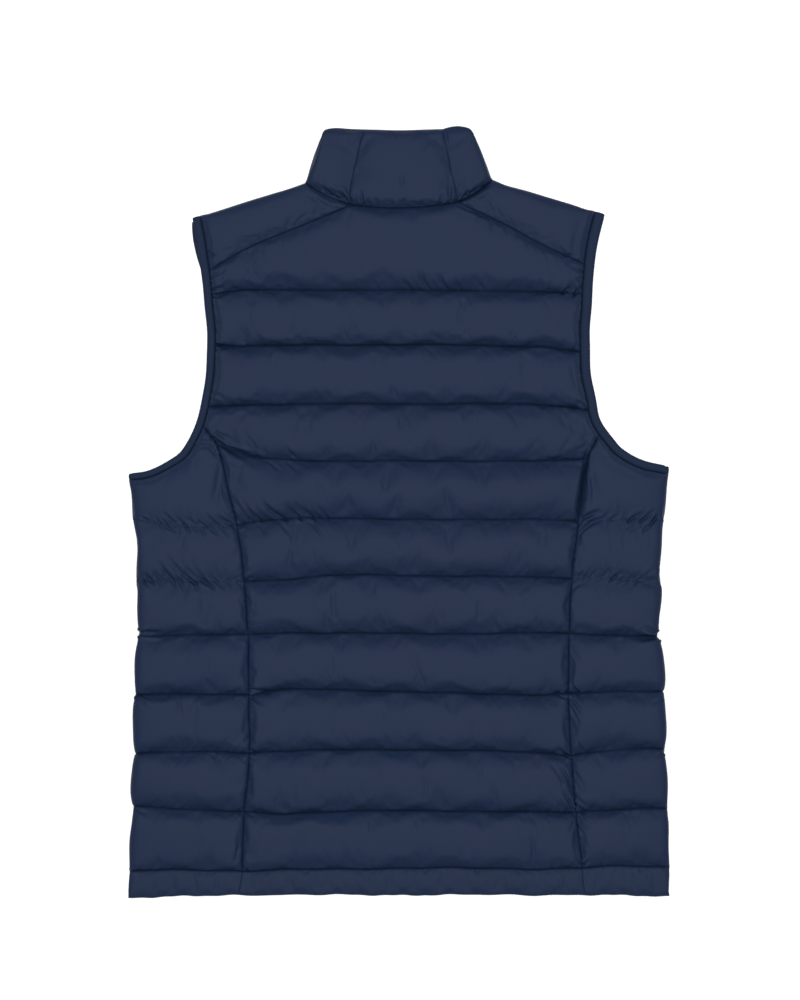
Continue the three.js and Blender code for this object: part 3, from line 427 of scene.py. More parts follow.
def reach_over_seams(outer, inner):
    """Moves a wall's edge points a little past its seams, square to each edge."""
    whole = slice(None)
    moves = []
    for edge, inside in (((0, whole), (3, whole)), ((-1, whole), (-4, whole)),
                         ((whole, 0), (whole, 3)), ((whole, -1), (whole, -4))):
        here = outer[edge][:, :2]
        inward = outer[inside][:, :2] - here
        along = unit(np.gradient(here, axis=0) + TINY)
        inward = inward - (inward * along).sum(-1, keepdims=True) * along
        moves.append((edge, unit(inward + TINY) * -SEAM_REACH))
    for edge, move in moves:
        for face in (outer, inner):
            face[edge][:, :2] += move


class Panel:
    """A cut piece of padded cloth: its outer and inner face as grids of points in millimetres."""

    def __init__(self, name, outer, inner, lines=()):
        self.name = name
        self.outer = np.array(outer, float)
        self.inner = np.array(inner, float)
        # the rows of the grid that lie on its quilt lines
        self.lines = list(lines)
        reach_over_seams(self.outer, self.inner)
        # the outer face before the padding and the creases move it
        self.rest = self.outer.copy()

    def normals(self):
        down = np.gradient(self.outer, axis=0)
        across = np.gradient(self.outer, axis=1)
        normal = unit(np.cross(across, down) + TINY)
        away = self.outer - self.inner
        flip = np.sign((normal * away).sum(-1).mean())
        return normal * (flip if flip else 1)


def flat_panel(name, grid, thickness, layer, lines=()):
    """A panel that lies in one layer, from its grid of places and the thickness at each."""
    inside = BACK_INSIDE if layer == "back" else FRONT_INSIDE
    out = 1 if layer == "back" else -1
    outer = np.dstack([grid, inside + out * thickness])
    inner = np.dstack([grid, np.full(grid.shape[:2], inside)])
    return Panel(name, outer, inner, lines)


# under 1, a turn is fuller than half a circle
FOLD_FULLNESS = 0.72


def fold_radius(tip_back, tip_front):
    return (tip_back + tip_front + LAYER_GAP) / 2


def folded_panel(name, lines, rows=()):
    """A panel that turns under at a fold, from its lines: over the back, round the tip, under."""
    angles = np.radians(np.linspace(90, -90, FOLD_STEPS + 1))[1:-1]
    reach = (np.cos(angles) ** FOLD_FULLNESS)[:, None]
    height = np.sign(angles) * np.abs(np.sin(angles)) ** FOLD_FULLNESS
    outers, inners = [], []
    for line in lines:
        radius = fold_radius(line["tip_back"], line["tip_front"])
        middle = line["tip"] - line["out"] * radius
        middle_z = (BACK_INSIDE + line["tip_back"] + FRONT_INSIDE - line["tip_front"]) / 2
        back, front = line["back"], line["front"]
        # what the ends of both layers stand beside the fold's own ends fades out round the turn
        fade = 1 - reach
        lean = np.where(height[:, None] > 0, back[-1] - middle, front[0] - middle) * fade
        turn_out = np.column_stack([middle + line["out"] * radius * reach + lean,
                                    middle_z + radius * height])
        turn_in = np.column_stack([middle + line["out"] * LAYER_GAP * reach + lean,
                                   MIDDLE_Z + LAYER_GAP / 2 * height])
        for faces, turned, over, under in (
                (outers, turn_out, BACK_INSIDE + line["back_thick"],
                 FRONT_INSIDE - line["front_thick"]),
                (inners, turn_in, np.full(len(back), BACK_INSIDE),
                 np.full(len(front), FRONT_INSIDE))):
            faces.append(np.vstack([np.column_stack([back, over]), turned,
                                    np.column_stack([front, under])]))
    return Panel(name, np.array(outers), np.array(inners), rows)


# Pieces of the back

YOKE_COLUMNS = 88
NECK_COLUMNS = 64


def neck_line(share):
    share = np.asarray(share, float)
    at = mix(LEFT.yoke_neck, RIGHT.yoke_neck, share[:, None])
    at[:, 1] -= 2 * NECK_BOW * np.sin(np.pi * share)
    return at


def back_top_line():
    yoke = np.linspace(0, 1, YOKE_COLUMNS + 1)
    neck = np.linspace(0, 1, NECK_COLUMNS + 1)
    return np.vstack([LEFT.yoke_seam(yoke), neck_line(neck)[1:-1], RIGHT.yoke_seam(yoke)[::-1]])


TOP_LINE = back_top_line()
BACK_COLUMNS = (TOP_LINE[:, 0] - TOP_LINE[0, 0]) / (TOP_LINE[-1, 0] - TOP_LINE[0, 0])


def back_line(line):
    if line == 0:
        return TOP_LINE
    height = smooth_table(LINE_SHARES, BACK_LINES[line - 1])
    first = LEFT.back_edge(LEFT.line_end(line))[0]
    last = RIGHT.back_edge(RIGHT.line_end(line))[0]
    return np.stack([mix(first[0], last[0], BACK_COLUMNS), height(BACK_COLUMNS)], -1)


def back_panel():
    shares = crowded(BAND_ROWS)
    column = np.arange(len(BACK_COLUMNS))
    from_yoke = np.minimum(column, column[::-1]) - YOKE_COLUMNS
    to_neck = eased((from_yoke + NECK_BLEND) / (2 * NECK_BLEND))
    grid, along = [], []
    for line in range(LAST_LINE):
        top, bottom = back_line(line), back_line(line + 1)
        edges = [side.back_edge(mix(side.line_end(line), side.line_end(line + 1), shares))
                 for side in (LEFT, RIGHT)]
        band = patch(top, bottom, *edges, shares, BACK_COLUMNS)
        height = np.linalg.norm(top - bottom, axis=-1)[None]
        upper = (quilt_line(line, top[:, 0], REACHES_BELOW) if line
                 else blend_seams(YOKE, NECK, to_neck))
        lower = quilt_line(line + 1, bottom[:, 0], REACHES_ABOVE)
        drawn = fill(height * shares[:, None], upper) * fill(height * (1 - shares[:, None]), lower)
        keep = BAND_ROWS + 1 if line + 1 == LAST_LINE else BAND_ROWS
        grid.append(band[:keep])
        along.append(drawn[:keep])
    grid = np.vstack(grid)
    across = []
    for side, end, distance in zip((LEFT, RIGHT), (0, -1), from_ends(grid)):
        above_corner = grid[:, end, 1] - side.corner_y
        on_armhole = eased((above_corner + CORNER_BLEND) / (2 * CORNER_BLEND))[:, None]
        across.append(fill(distance, blend_seams(PRINCESS, ARMHOLE, on_armhole)))
    thickness = padding(BACK_CROWN, np.vstack(along), *across)
    lines = [line * BAND_ROWS for line in range(LAST_LINE + 1)]
    return flat_panel("back_cloth", grid, thickness, "back", lines)


# Side panels

SIDE_BACK_COLUMNS = 80
SIDE_FRONT_COLUMNS = 32
SIDE_TOP_ROWS = 36


def line_bow(side, line):
    middle, fold = side.table["side_lines"][line - FIRST_SIDE_LINE][:2]
    return middle - (side.line_end(line) + fold) / 2


def side_rows(side):
    """Rows of a side panel: its line, the share down to the next one and the places it meets."""
    bands = [(None, FIRST_SIDE_LINE, side.corner_y, side.front_corner_y, SIDE_TOP_ROWS)]
    bands += [(line, line + 1, side.line_end(line), side.front_line_end(line), BAND_ROWS)
              for line in range(FIRST_SIDE_LINE, LAST_LINE)]
    rows = []
    for line, below, top, front_top, count in bands:
        shares = crowded(count)
        for down in shares if below == LAST_LINE else shares[:-1]:
            y = mix(top, side.line_end(below), down)
            front_y = mix(front_top, side.front_line_end(below), down)
            rows.append({"line": line, "down": down, "first": side.back_edge(y)[0],
                         "last": side.front_edge(front_y)[0]})
    return rows


def fold_point(side, row):
    """The place of the side fold beside a row, drawn in where a quilt line meets it."""
    table = side.table["side_lines"]
    if row["line"] is None:
        armhole_fold = side.back["inner"](1.0)
        return mix(armhole_fold, np.array([table[0][2], table[0][1]]), row["down"])
    start, end = table[row["line"] - FIRST_SIDE_LINE:][:2]
    bulge = start[3] - (start[2] + end[2]) / 2
    swell = math.sqrt(max(math.sin(math.pi * row["down"]), 0))
    return np.array([mix(start[2], end[2], row["down"]) + bulge * swell,
                     mix(start[1], end[1], row["down"])])


def up_to_fold(start, tip, radius, shares):
    """Shares of the way from a seam to a fold's tip that end where the cloth starts to turn."""
    return shares * (1 - radius / np.linalg.norm(np.subtract(tip, start)))


def side_over(side, row, tip, radius, shares):
    """Points over the back of a row of a side panel, from the princess seam towards the fold."""
    shares = up_to_fold(row["first"], tip, radius, shares)
    at = mix(row["first"], tip, shares[:, None])
    arch = 4 * shares * (1 - shares)
    if row["line"] is None:
        start = float(side.back["at_y"](side.corner_y))
        on_armhole = side.back["inner"](mix(start, 1.0, shares))
        straight = mix(side.back["inner"](start), side.back["inner"](1.0), shares[:, None])
        bend = on_armhole - straight
        at = at + bend * (1 - row["down"])
        at[:, 1] += arch * line_bow(side, FIRST_SIDE_LINE) * row["down"]
    else:
        bow = mix(line_bow(side, row["line"]), line_bow(side, row["line"] + 1), row["down"])
        at[:, 1] += arch * bow
    return at


def side_under(side, row, tip, radius, shares):
    """Points under the front of a row of a side panel, from the fold to the front's seam."""
    shares = 1 - up_to_fold(row["last"], tip, radius, 1 - shares)
    at = mix(tip, row["last"], shares[:, None])
    if row["line"] is None:
        start = float(side.front["at_y"](side.front_corner_y))
        on_armhole = side.front["inner"](mix(1.0, start, shares))
        straight = mix(side.front["inner"](1.0), side.front["inner"](start), shares[:, None])
        bend = on_armhole - straight
        at = at + bend * (1 - row["down"])
    return at


def band_height(side, row, share):
    """Distance between the quilt lines above and below a row, at a share towards the fold."""
    if row["line"] is None:
        armhole_fold = side.back["inner"](1.0)
        at_fold = armhole_fold[1] - side.table["side_lines"][0][1]
        return mix(side.corner_y - side.line_end(FIRST_SIDE_LINE), at_fold, share)
    start, end = side.table["side_lines"][row["line"] - FIRST_SIDE_LINE:][:2]
    return np.full_like(np.asarray(share, float), start[1] - end[1])


def drawn_in(side, row, share):
    """A row's share of the full thickness, between the quilt lines above and below it."""
    height = band_height(side, row, share)
    line = row["line"]
    x = mix(row["first"][0], fold_point(side, row)[0], share)
    below = FIRST_SIDE_LINE if line is None else line + 1
    whole = 1.0
    for number, away, reaches in ((line, row["down"] * height, REACHES_BELOW),
                                  (below, (1 - row["down"]) * height, REACHES_ABOVE)):
        if number is None:
            whole = whole * fill(away, ARMHOLE)
        elif number in WEAK_LINES:
            depth, width = WEAK_LINES[number]
            whole = whole * (1 - depth * np.exp(-(away / width) ** 2))
        else:
            whole = whole * fill(away, quilt_line(number, x, reaches))
    return whole


def side_panel(side):
    over_shares = np.linspace(0, 1, SIDE_BACK_COLUMNS + 1)
    under_shares = np.linspace(0, 1, SIDE_FRONT_COLUMNS + 1)
    out = np.array([side.sign, 0.0])
    lines = []
    for row in side_rows(side):
        away = min(row["down"], 1 - row["down"])
        at_fold = away * float(band_height(side, row, 1.0))
        tip = fold_point(side, row)
        tip_back = padding(SIDE_CROWN, float(drawn_in(side, row, 1.0)))
        tip_front = under_padding(at_fold, FRONT_RISE)
        radius = fold_radius(tip_back, tip_front)
        over = side_over(side, row, tip, radius, over_shares)
        under = side_under(side, row, tip, radius, under_shares)
        across = np.linalg.norm(over - row["first"], axis=-1)
        back_thick = padding(SIDE_CROWN, drawn_in(side, row, over_shares), fill(across, PRINCESS))
        across = np.linalg.norm(under - row["last"], axis=-1)
        front_thick = under_padding(at_fold, across)
        lines.append({"back": over, "back_thick": back_thick, "tip": tip, "tip_back": tip_back,
                      "tip_front": tip_front, "out": out, "front": under,
                      "front_thick": front_thick})
    bands = range(LAST_LINE - FIRST_SIDE_LINE + 1)
    rows = [0] + [SIDE_TOP_ROWS + band * BAND_ROWS for band in bands]
    return folded_panel(f"side_cloth_{side.name}", lines, rows)


# Shoulders

SHOULDER_COLUMNS = 80
SHOULDER_BACK_ROWS = 36
SHOULDER_FRONT_ROWS = 40


def shoulder(side):
    tip = side.back["inner"](0.0)
    back_start = float(side.back["at_y"](side.table["yoke"][0]))
    front_start = float(side.front["at_y"](FRONT_YOKE_Y))
    over = np.linspace(0, 1, SHOULDER_BACK_ROWS + 1)
    under = np.linspace(0, 1, SHOULDER_FRONT_ROWS + 1)
    lines = []
    for column in np.linspace(0, 1, SHOULDER_COLUMNS + 1):
        seam, front_seam = side.yoke_seam(column), side.front_yoke(np.array([column]))[0]
        fold = mix(tip, side.neck_fold, column)
        out = unit(mix(side.shoulder_out, side.neck_out, column))
        width = np.linalg.norm(side.neck_fold - tip)
        ends = fill(column * width, ARMHOLE) * fill((1 - column) * width, NECK)
        across = min(column, 1 - column) * width
        back_length = np.linalg.norm(seam - fold)
        front_length = np.linalg.norm(front_seam - fold)
        tip_back = padding(SHOULDER_CROWN, ends, float(fill(back_length, YOKE)))
        tip_front = under_padding(front_length, across)
        radius = fold_radius(tip_back, tip_front)

        way = up_to_fold(seam, fold, radius, over)
        share = way[:, None]
        back = mix(seam, fold, share)
        bend = side.back["inner"](mix(back_start, 0.0, way)) - mix(side.yoke_seam(0.0), tip, share)
        back = back + bend * (1 - column)
        bend = side.back_neck(way) - mix(side.yoke_seam(1.0), side.neck_fold, share)
        back = back + bend * column
        back_thick = padding(SHOULDER_CROWN, ends, fill(over * back_length, YOKE))

        way = 1 - up_to_fold(front_seam, fold, radius, 1 - under)
        share = way[:, None]
        front = mix(fold, front_seam, share)
        start = side.front_yoke(np.array([0.0]))[0]
        bend = side.front["inner"](mix(0.0, front_start, way)) - mix(tip, start, share)
        front = front + bend * (1 - column)
        end = side.front_yoke(np.array([1.0]))[0]
        bend = side.neckline(way * NECK_YOKE_ANGLE) - mix(side.neck_fold, end, share)
        front = front + bend * column
        front_thick = under_padding((1 - under) * front_length, across)
        lines.append({"back": back, "back_thick": back_thick, "tip": fold, "tip_back": tip_back,
                      "tip_front": tip_front, "out": out, "front": front,
                      "front_thick": front_thick})
    return folded_panel(f"shoulder_cloth_{side.name}", lines)


# Collar

COLLAR_ROWS = 48
COLLAR_SIDE_BACK = 28
COLLAR_SIDE_FRONT = 60
# how soon the collar's front half leaves the fold for the line of the neck
COLLAR_PULL = 6


def collar_fill(up, height):
    return fill(up * height, COLLAR_BASE) * fill((1 - up) * height, COLLAR_EDGE)


def collar_back():
    columns = np.linspace(0, 1, NECK_COLUMNS + 1)
    rows = crowded(COLLAR_ROWS)
    bottom = neck_line(columns)
    ends = [np.array(side.table["collar_top"][0], float) for side in (LEFT, RIGHT)]
    top = mix(ends[0], ends[1], columns[:, None])
    top[:, 1] -= NECK_BOW / 2 * np.sin(np.pi * columns)
    seams = [smooth_path(side.table["collar_seam"])(rows) for side in (LEFT, RIGHT)]
    grid = patch(bottom, top, *seams, rows, columns)
    height = np.linalg.norm(top - bottom, axis=-1)[None]
    across = [fill(distance, COLLAR_SEAM) for distance in from_ends(grid)]
    thickness = padding(COLLAR_CROWN, collar_fill(rows[:, None], height), *across)
    return flat_panel("collar_cloth_back", grid, thickness, "back")


def collar_side(side):
    fold_top = np.array(side.table["collar_top"][-1], float)
    seam_at, top_at = (smooth_path(side.table[key]) for key in ("collar_seam", "collar_top"))
    over = np.linspace(0, 1, COLLAR_SIDE_BACK + 1)
    under = np.linspace(0, 1, COLLAR_SIDE_FRONT + 1)
    angles = under * side.zip_angle
    turn = np.radians(angles)
    neck = side.neckline(angles)
    top = np.stack([fold_top[0] * np.cos(turn), fold_top[1] - COLLAR_DROP * np.sin(turn)], -1)
    top_out = np.array([side.sign, 0.0])
    lines = []
    for up in crowded(COLLAR_ROWS):
        seam = seam_at(up)
        fold = mix(side.neck_fold, fold_top, up)
        fold[0] += side.sign * COLLAR_FOLD_BOW * math.sin(math.pi * up)
        height = np.linalg.norm(side.neck_fold - fold_top)
        along = min(up, 1 - up) * height
        out = unit(mix(side.neck_out, top_out, up))
        tip_back = padding(COLLAR_CROWN, collar_fill(up, height))
        tip_front = under_padding(along, FRONT_RISE)
        radius = fold_radius(tip_back, tip_front)
        edge = fold - out * radius

        way = up_to_fold(seam, fold, radius, over)
        share = way[:, None]
        back = mix(seam, fold, share)
        bend = side.back_neck(way) - mix(side.back_neck(np.array([0.0])), side.neck_fold, share)
        back = back + bend * (1 - up)
        back = back + (top_at(way) - mix(top_at(0.0), fold_top, share)) * up
        across = np.linalg.norm(back - seam, axis=-1)
        back_thick = padding(COLLAR_CROWN, collar_fill(up, height), fill(across, COLLAR_SEAM))

        front = mix(neck, top, up)
        front += (edge - front[0]) * ((1 - under) ** COLLAR_PULL)[:, None]
        front[-1, 0] = side.sign * ZIP_EDGE
        front_thick = under_padding(along, np.abs(front[:, 0]) - ZIP_EDGE)
        lines.append({"back": back, "back_thick": back_thick, "tip": fold, "tip_back": tip_back,
                      "tip_front": tip_front, "out": out, "front": front,
                      "front_thick": front_thick})
    return folded_panel(f"collar_cloth_{side.name}", lines)


# Fronts

FRONT_NECK_COLUMNS = 28
FRONT_YOKE_COLUMNS = 60


def front_top_line(side):
    yoke = side.front_yoke(np.linspace(0, 1, FRONT_YOKE_COLUMNS + 1))
    neck = side.neckline(np.linspace(NECK_YOKE_ANGLE, side.zip_angle, FRONT_NECK_COLUMNS + 1))
    neck[-1, 0] = side.sign * ZIP_EDGE
    return np.vstack([yoke, neck[1:]])


def front_columns(side):
    top = front_top_line(side)
    return (top[:, 0] - top[0, 0]) / (top[-1, 0] - top[0, 0])


def front_line(side, line):
    if line < FIRST_FRONT_LINE:
        return front_top_line(side)
    zip_end = np.array([side.sign * ZIP_EDGE, ZIP_LINES[line - FIRST_FRONT_LINE]])
    edge = side.front_edge(side.front_line_end(line))[0]
    return mix(edge, zip_end, front_columns(side)[:, None])


def front_panel(side):
    shares = crowded(FRONT_BAND_ROWS)
    columns = front_columns(side)
    grid, along = [], []
    for line in range(FIRST_FRONT_LINE - 1, LAST_LINE):
        top, bottom = front_line(side, line), front_line(side, line + 1)
        edge = side.front_edge(mix(top[0, 1], bottom[0, 1], shares))
        zip_edge = mix(top[-1], bottom[-1], shares[:, None])
        band = patch(top, bottom, edge, zip_edge, shares, columns)
        height = np.linalg.norm(top - bottom, axis=-1)
        keep = FRONT_BAND_ROWS + 1 if line + 1 == LAST_LINE else FRONT_BAND_ROWS
        grid.append(band[:keep])
        along.append((height[None] * np.minimum(shares, 1 - shares)[:, None])[:keep])
    grid, along = np.vstack(grid), np.vstack(along)
    thickness = under_padding(along, np.minimum(*from_ends(grid)))
    lines = [band * FRONT_BAND_ROWS for band in range(LAST_LINE - FIRST_FRONT_LINE + 2)]
    return flat_panel(f"front_cloth_{side.name}", grid, thickness, "front", lines)


# Hem band

HEM_ROWS = 12


def hem_thickness(share, length):
    along = np.minimum(share, 1 - share) * length
    return padding(HEM_THICKNESS, rise(along, HEM_RISE))


def hem_princess(side):
    return np.array([side.table["princess"][-1][0], HEM_MIDDLE_Y], float)


def hem_front_seam(side):
    return np.array([side.sign * FRONT_SEAM_X, HEM_MIDDLE_Y], float)


def hem_flat(name, top, first, last, columns, layer):
    bottom = mix(first, last, columns[:, None])
    rows = crowded(HEM_ROWS)
    edges = [mix(top[0], first, rows[:, None]), mix(top[-1], last, rows[:, None])]
    grid = patch(top, bottom, *edges, rows, columns)
    thickness = hem_thickness(rows[:, None], np.linalg.norm(top - bottom, axis=-1)[None])
    return flat_panel(name, grid, thickness, layer)


def hem_back():
    ends = hem_princess(LEFT), hem_princess(RIGHT)
    return hem_flat("hem_cloth_back", back_line(LAST_LINE), *ends, BACK_COLUMNS, "back")


def hem_front(side):
    zip_end = np.array([side.sign * ZIP_EDGE, HEM_MIDDLE_Y])
    top = front_line(side, LAST_LINE)
    name = f"hem_cloth_front_{side.name}"
    return hem_flat(name, top, hem_front_seam(side), zip_end, front_columns(side), "front")


def hem_side(side):
    row = side_rows(side)[-1]
    fold_top = fold_point(side, row)
    fold_end = np.array(side.table["hem_fold"], float)
    over_shares = np.linspace(0, 1, SIDE_BACK_COLUMNS + 1)
    under_shares = np.linspace(0, 1, SIDE_FRONT_COLUMNS + 1)
    length = np.linalg.norm(fold_top - fold_end)
    out = np.array([side.sign, 0.0])
    lines = []
    for down in crowded(HEM_ROWS):
        thick = float(hem_thickness(down, length))
        radius = fold_radius(thick, thick)
        shift = out * radius
        over = mix(side_over(side, row, fold_top, radius, over_shares),
                   mix(hem_princess(side), fold_end - shift, over_shares[:, None]), down)
        under = mix(side_under(side, row, fold_top, radius, under_shares),
                    mix(fold_end - shift, hem_front_seam(side), under_shares[:, None]), down)
        lines.append({"back": over, "back_thick": np.full(len(over), thick),
                      "tip": mix(fold_top, fold_end, down), "tip_back": thick, "tip_front": thick,
                      "out": out, "front": under, "front_thick": np.full(len(under), thick)})
    return folded_panel(f"hem_cloth_side_{side.name}", lines)


# Creases and puckers: soft troughs pressed into the cloth, deepest at their start

# a crease is still felt at this many of its widths from its line, it grows wider towards its end,
# and the cloth stands up a little on both sides, two widths away
CREASE_REACH = 3.2
CREASE_WIDTHS = (0.75, 1.35)
CREASE_RIDGE = 0.42
RIDGE_AWAY = 2
CREASE_FADE = 1.5
# the cloth is held within this distance of a seam, and it is stiff this near to a fold's middle
SEAM_GRIP = 1.6
TURN_GRIP = 3.0
# the most that a crease can sink in: so much, and this share of the padding's thickness
LEAST_ROOM = 0.05
ROOM_SHARE = 0.68
LEAST_WALL = 1.2


class Crease:
    """A soft trough from a start to an end in the plane, bowed sideways by a few millimetres."""

    def __init__(self, start, end, width, depth, bow=0.0, across=False):
        self.start, self.end = np.array(start, float), np.array(end, float)
        self.width, self.depth, self.bow = width, depth, bow
        # one that runs across a seam is deepest in its middle
        self.across = across

    def span(self):
        """The lowest and the highest Y that the crease reaches."""
        room = CREASE_REACH * self.width + abs(self.bow)
        return (min(self.start[1], self.end[1]) - room, max(self.start[1], self.end[1]) + room)

    def depth_at(self, places, free):
        """How deep the crease is at places in the plane, and how freely the cloth moves there."""
        line = self.end - self.start
        length = np.linalg.norm(line)
        along = line / length
        side = np.array([-along[1], along[0]])
        offset = places - self.start
        s = offset @ along / length
        d = offset @ side - self.bow * 4 * s * (1 - s)
        narrow, wide = CREASE_WIDTHS
        spread = self.width * (narrow + (wide - narrow) * np.clip(s, 0, 1))
        ridge = np.exp(-((np.abs(d) - RIDGE_AWAY * spread) / spread) ** 2)
        trough = np.exp(-(d / spread) ** 2) - CREASE_RIDGE * ridge
        if self.across:
            return self.depth * trough * np.clip(4 * s * (1 - s), 0, 1)
        head = np.where(s < 0, np.exp(-(s * length / self.width) ** 2), 1)
        tail = np.clip(1 - np.clip(s, 0, None) ** 2, 0, 1) ** CREASE_FADE
        return self.depth * trough * (head * free) * tail


def freedom(panel):
    """How freely the points of a panel move: not at all at its seams, where two pieces meet."""
    along = arc_lengths(panel.rest)
    down = np.swapaxes(arc_lengths(np.swapaxes(panel.rest, 0, 1)), 0, 1)
    room = np.minimum.reduce([along, along[:, -1:] - along, down, down[-1:] - down])
    return eased(room / SEAM_GRIP)


def press(panel, creases, under=False):
    """Presses creases into the back's side of a panel, or into the side that lies under."""
    points = panel.outer.reshape(-1, 3)
    place = np.flatnonzero((points[:, 2] < MIDDLE_Z) if under else (points[:, 2] >= MIDDLE_Z))
    place = place[np.argsort(points[place, 1])]
    flat = points[place, :2]
    depth = np.zeros(len(place))
    free = freedom(panel).reshape(-1)[place]
    for crease in creases:
        first, last = np.searchsorted(flat[:, 1], crease.span())
        if first < last:
            depth[first:last] += crease.depth_at(flat[first:last], free[first:last])
    # straight down at the seams, so that both pieces stay together there
    upright = np.array([0.0, 0.0, -1.0 if under else 1.0])
    normals = mix(upright, panel.normals().reshape(-1, 3)[place], free[:, None])
    # creases run out where the cloth turns under, and thin padding takes none but shallow ones
    round_turn = eased(np.abs(points[place, 2] - MIDDLE_Z) / TURN_GRIP)
    inner_z = panel.inner.reshape(-1, 3)[place, 2]
    room = LEAST_ROOM + ROOM_SHARE * np.abs(points[place, 2] - inner_z)
    depth = room * np.tanh(depth * round_turn / room)
    moved = points.copy()
    moved[place] -= normals * depth[:, None]
    # a crease never reaches through to the plain inside
    if under:
        below = np.minimum(moved[place, 2], inner_z - LEAST_WALL)
        moved[place, 2] = np.maximum(below, 0.0)
    else:
        least = np.minimum(points[place, 2], inner_z + LEAST_WALL)
        moved[place, 2] = np.maximum(moved[place, 2], least)
    panel.outer = moved.reshape(panel.outer.shape)


# Puckers by the place that they are in. Columns: the usual distance between two, length, depth,
# how unevenly they slant, width, and the first number of their random draws
PUCKERS = {
    "over a back line": (12.0, 12.0, 0.75, 0.4, 2.4, 11),
    "under a back line": (18.0, 9.0, 0.5, 0.4, 2.3, 111),
    "back's side seams": (7.5, 8.0, 1.15, 0.7, 1.6, 211),
    "under the yokes": (14.0, 9.0, 0.5, 0.5, 2.0, 7),
    "back hem's seam": (11.0, 8.0, 0.45, 0.5, 2.0, 5),
    "back hem's edge": (13.0, 6.0, 0.3, 0.5, 2.0, 6),
    "over a side line": (9.0, 11.0, 0.55, 0.3, 2.2, 0),
    "under a side line": (14.0, 9.0, 0.4, 0.4, 2.0, 50),
    "side's princess seam": (8.0, 8.0, 1.0, 0.6, 1.6, 90),
    "side's underside": (8.0, 7.0, 0.6, 0.5, 1.9, 150),
    "yoke seam": (8.0, 5.0, 0.6, 0.5, 1.7, 201),
    "shoulder's armhole": (9.0, 8.0, 0.7, 0.5, 1.9, 202),
    "shoulder's neck": (7.0, 6.0, 0.6, 0.5, 1.8, 203),
    "collar's front neck": (9.0, 12.0, 0.6, 0.4, 2.0, 204),
    "over a front line": (9.0, 9.0, 0.6, 0.5, 2.0, 250),
    "under a front line": (12.0, 8.0, 0.5, 0.5, 2.0, 280),
    "beside the zip": (8.0, 9.0, 0.6, 0.4, 1.9, 299),
    "side hem's seam": (11.0, 8.0, 0.45, 0.5, 2.0, 310),
    "front hem's seam": (11.0, 8.0, 0.4, 0.5, 2.0, 311),
}
# shares of a pucker's usual sizes between which each one lies
PUCKER_LENGTHS = (0.45, 1.35)
PUCKER_DEPTHS = (0.55, 1.25)
PUCKER_WIDTHS = (0.7, 1.25)
PUCKER_SPACES = (0.55, 1.5)
PUCKER_BOW = 0.07
# the first one lies between these shares of a space from the run's start, and each starts this
# far from its seam
FIRST_SPACE = (0.2, 1.0)
PUCKER_START = 0.6


def puckers(place, points, away, draws=0, lean=None, share=None):
    """Small creases that start along a seam and point away from it, as uneven as sewn ones are.

    away is the direction from the seam into the cloth. lean says how far they slant along the
    seam at an X, and share how much of their depth they have there."""
    spacing, length, depth, uneven, width, first_draws = PUCKERS[place]
    rng = np.random.default_rng(first_draws + draws)
    points = np.asarray(points, float)
    run = arc_lengths(points)
    at = rng.uniform(*FIRST_SPACE) * spacing
    made = []
    while at < run[-1] - 1:
        here = np.array([np.interp(at, run, points[:, k]) for k in (0, 1)])
        ahead = np.array([np.interp(min(at + 1, run[-1]), run, points[:, k]) for k in (0, 1)])
        along = unit(ahead - here)
        out = np.array([-along[1], along[0]])
        out = out if out @ np.asarray(away, float) > 0 else -out
        reach = length * rng.uniform(*PUCKER_LENGTHS)
        slant = (lean(here[0]) if lean else 0.0) + rng.normal(0, uneven)
        end = here + reach * unit(out + slant * along)
        size = rng.uniform(*PUCKER_DEPTHS) * (depth * share(here[0]) if share else depth)
        # one draw is passed over here, which keeps the later ones as they are
        rng.uniform()
        bow = rng.normal(0, PUCKER_BOW) * reach
        made.append(Crease(here + out * PUCKER_START, end, width * rng.uniform(*PUCKER_WIDTHS),
                           size, bow))
        at += spacing * rng.uniform(*PUCKER_SPACES)
    return made


# Slanting creases over a weak line: distance between two, length, depth and width
SLASH_SPACING = 8.5
SLASH_LENGTH = 17.0
SLASH_DEPTH = 1.25
SLASH_WIDTH = 1.25
SLASH_SLOPE = 1.1
# how uneven they are: how much each turns, how far it lies over the line and by how much that
# varies, its half length, depth and width as shares of the usual ones, and its bow
SLASH_TURN = 0.22
SLASH_SHIFT = (1.5, 2.5)
SLASH_HALVES = (0.3, 0.7)
SLASH_DEPTHS = (0.4, 1.2)
SLASH_WIDTHS = (0.8, 1.2)
SLASH_BOW = 0.8


def slashes(points, direction, draws):
    """Creases that run slanting across a line of points, one beside the other."""
    rng = np.random.default_rng(draws)
    run = arc_lengths(points)
    at = SLASH_SPACING / 2
    made = []
    while at < run[-1]:
        here = np.array([np.interp(at, run, points[:, k]) for k in (0, 1)])
        along = unit(np.array(direction) + rng.normal(0, SLASH_TURN, 2))
        here = here + along * rng.normal(*SLASH_SHIFT)
        half = along * SLASH_LENGTH * rng.uniform(*SLASH_HALVES)
        size = SLASH_DEPTH * rng.uniform(*SLASH_DEPTHS)
        width = SLASH_WIDTH * rng.uniform(*SLASH_WIDTHS)
        made.append(Crease(here - half, here + half, width, size, rng.normal(0, SLASH_BOW),
                           across=True))
        at += SLASH_SPACING * rng.uniform(*PUCKER_SPACES)
    return made


# the right princess seam lies in a wide ditch above line 5
SEAM_DITCH = [Crease((189, 70), (178, -14), 2.6, 2.6, across=True)]
# and the collar is drawn in where its seams meet the yokes
NECK_DITCH = [Crease((-79, 325), (-42, 306), 2.6, 2.4, across=True),
              Crease((56, 308), (92, 330), 2.2, 2.2, across=True)]

# The cloth simulation: air between the seams fills each quilted band, and a little spare length
# gathers at the stitches

CLOTH_SPARE = 0.008
CLOTH_FRAMES = 18
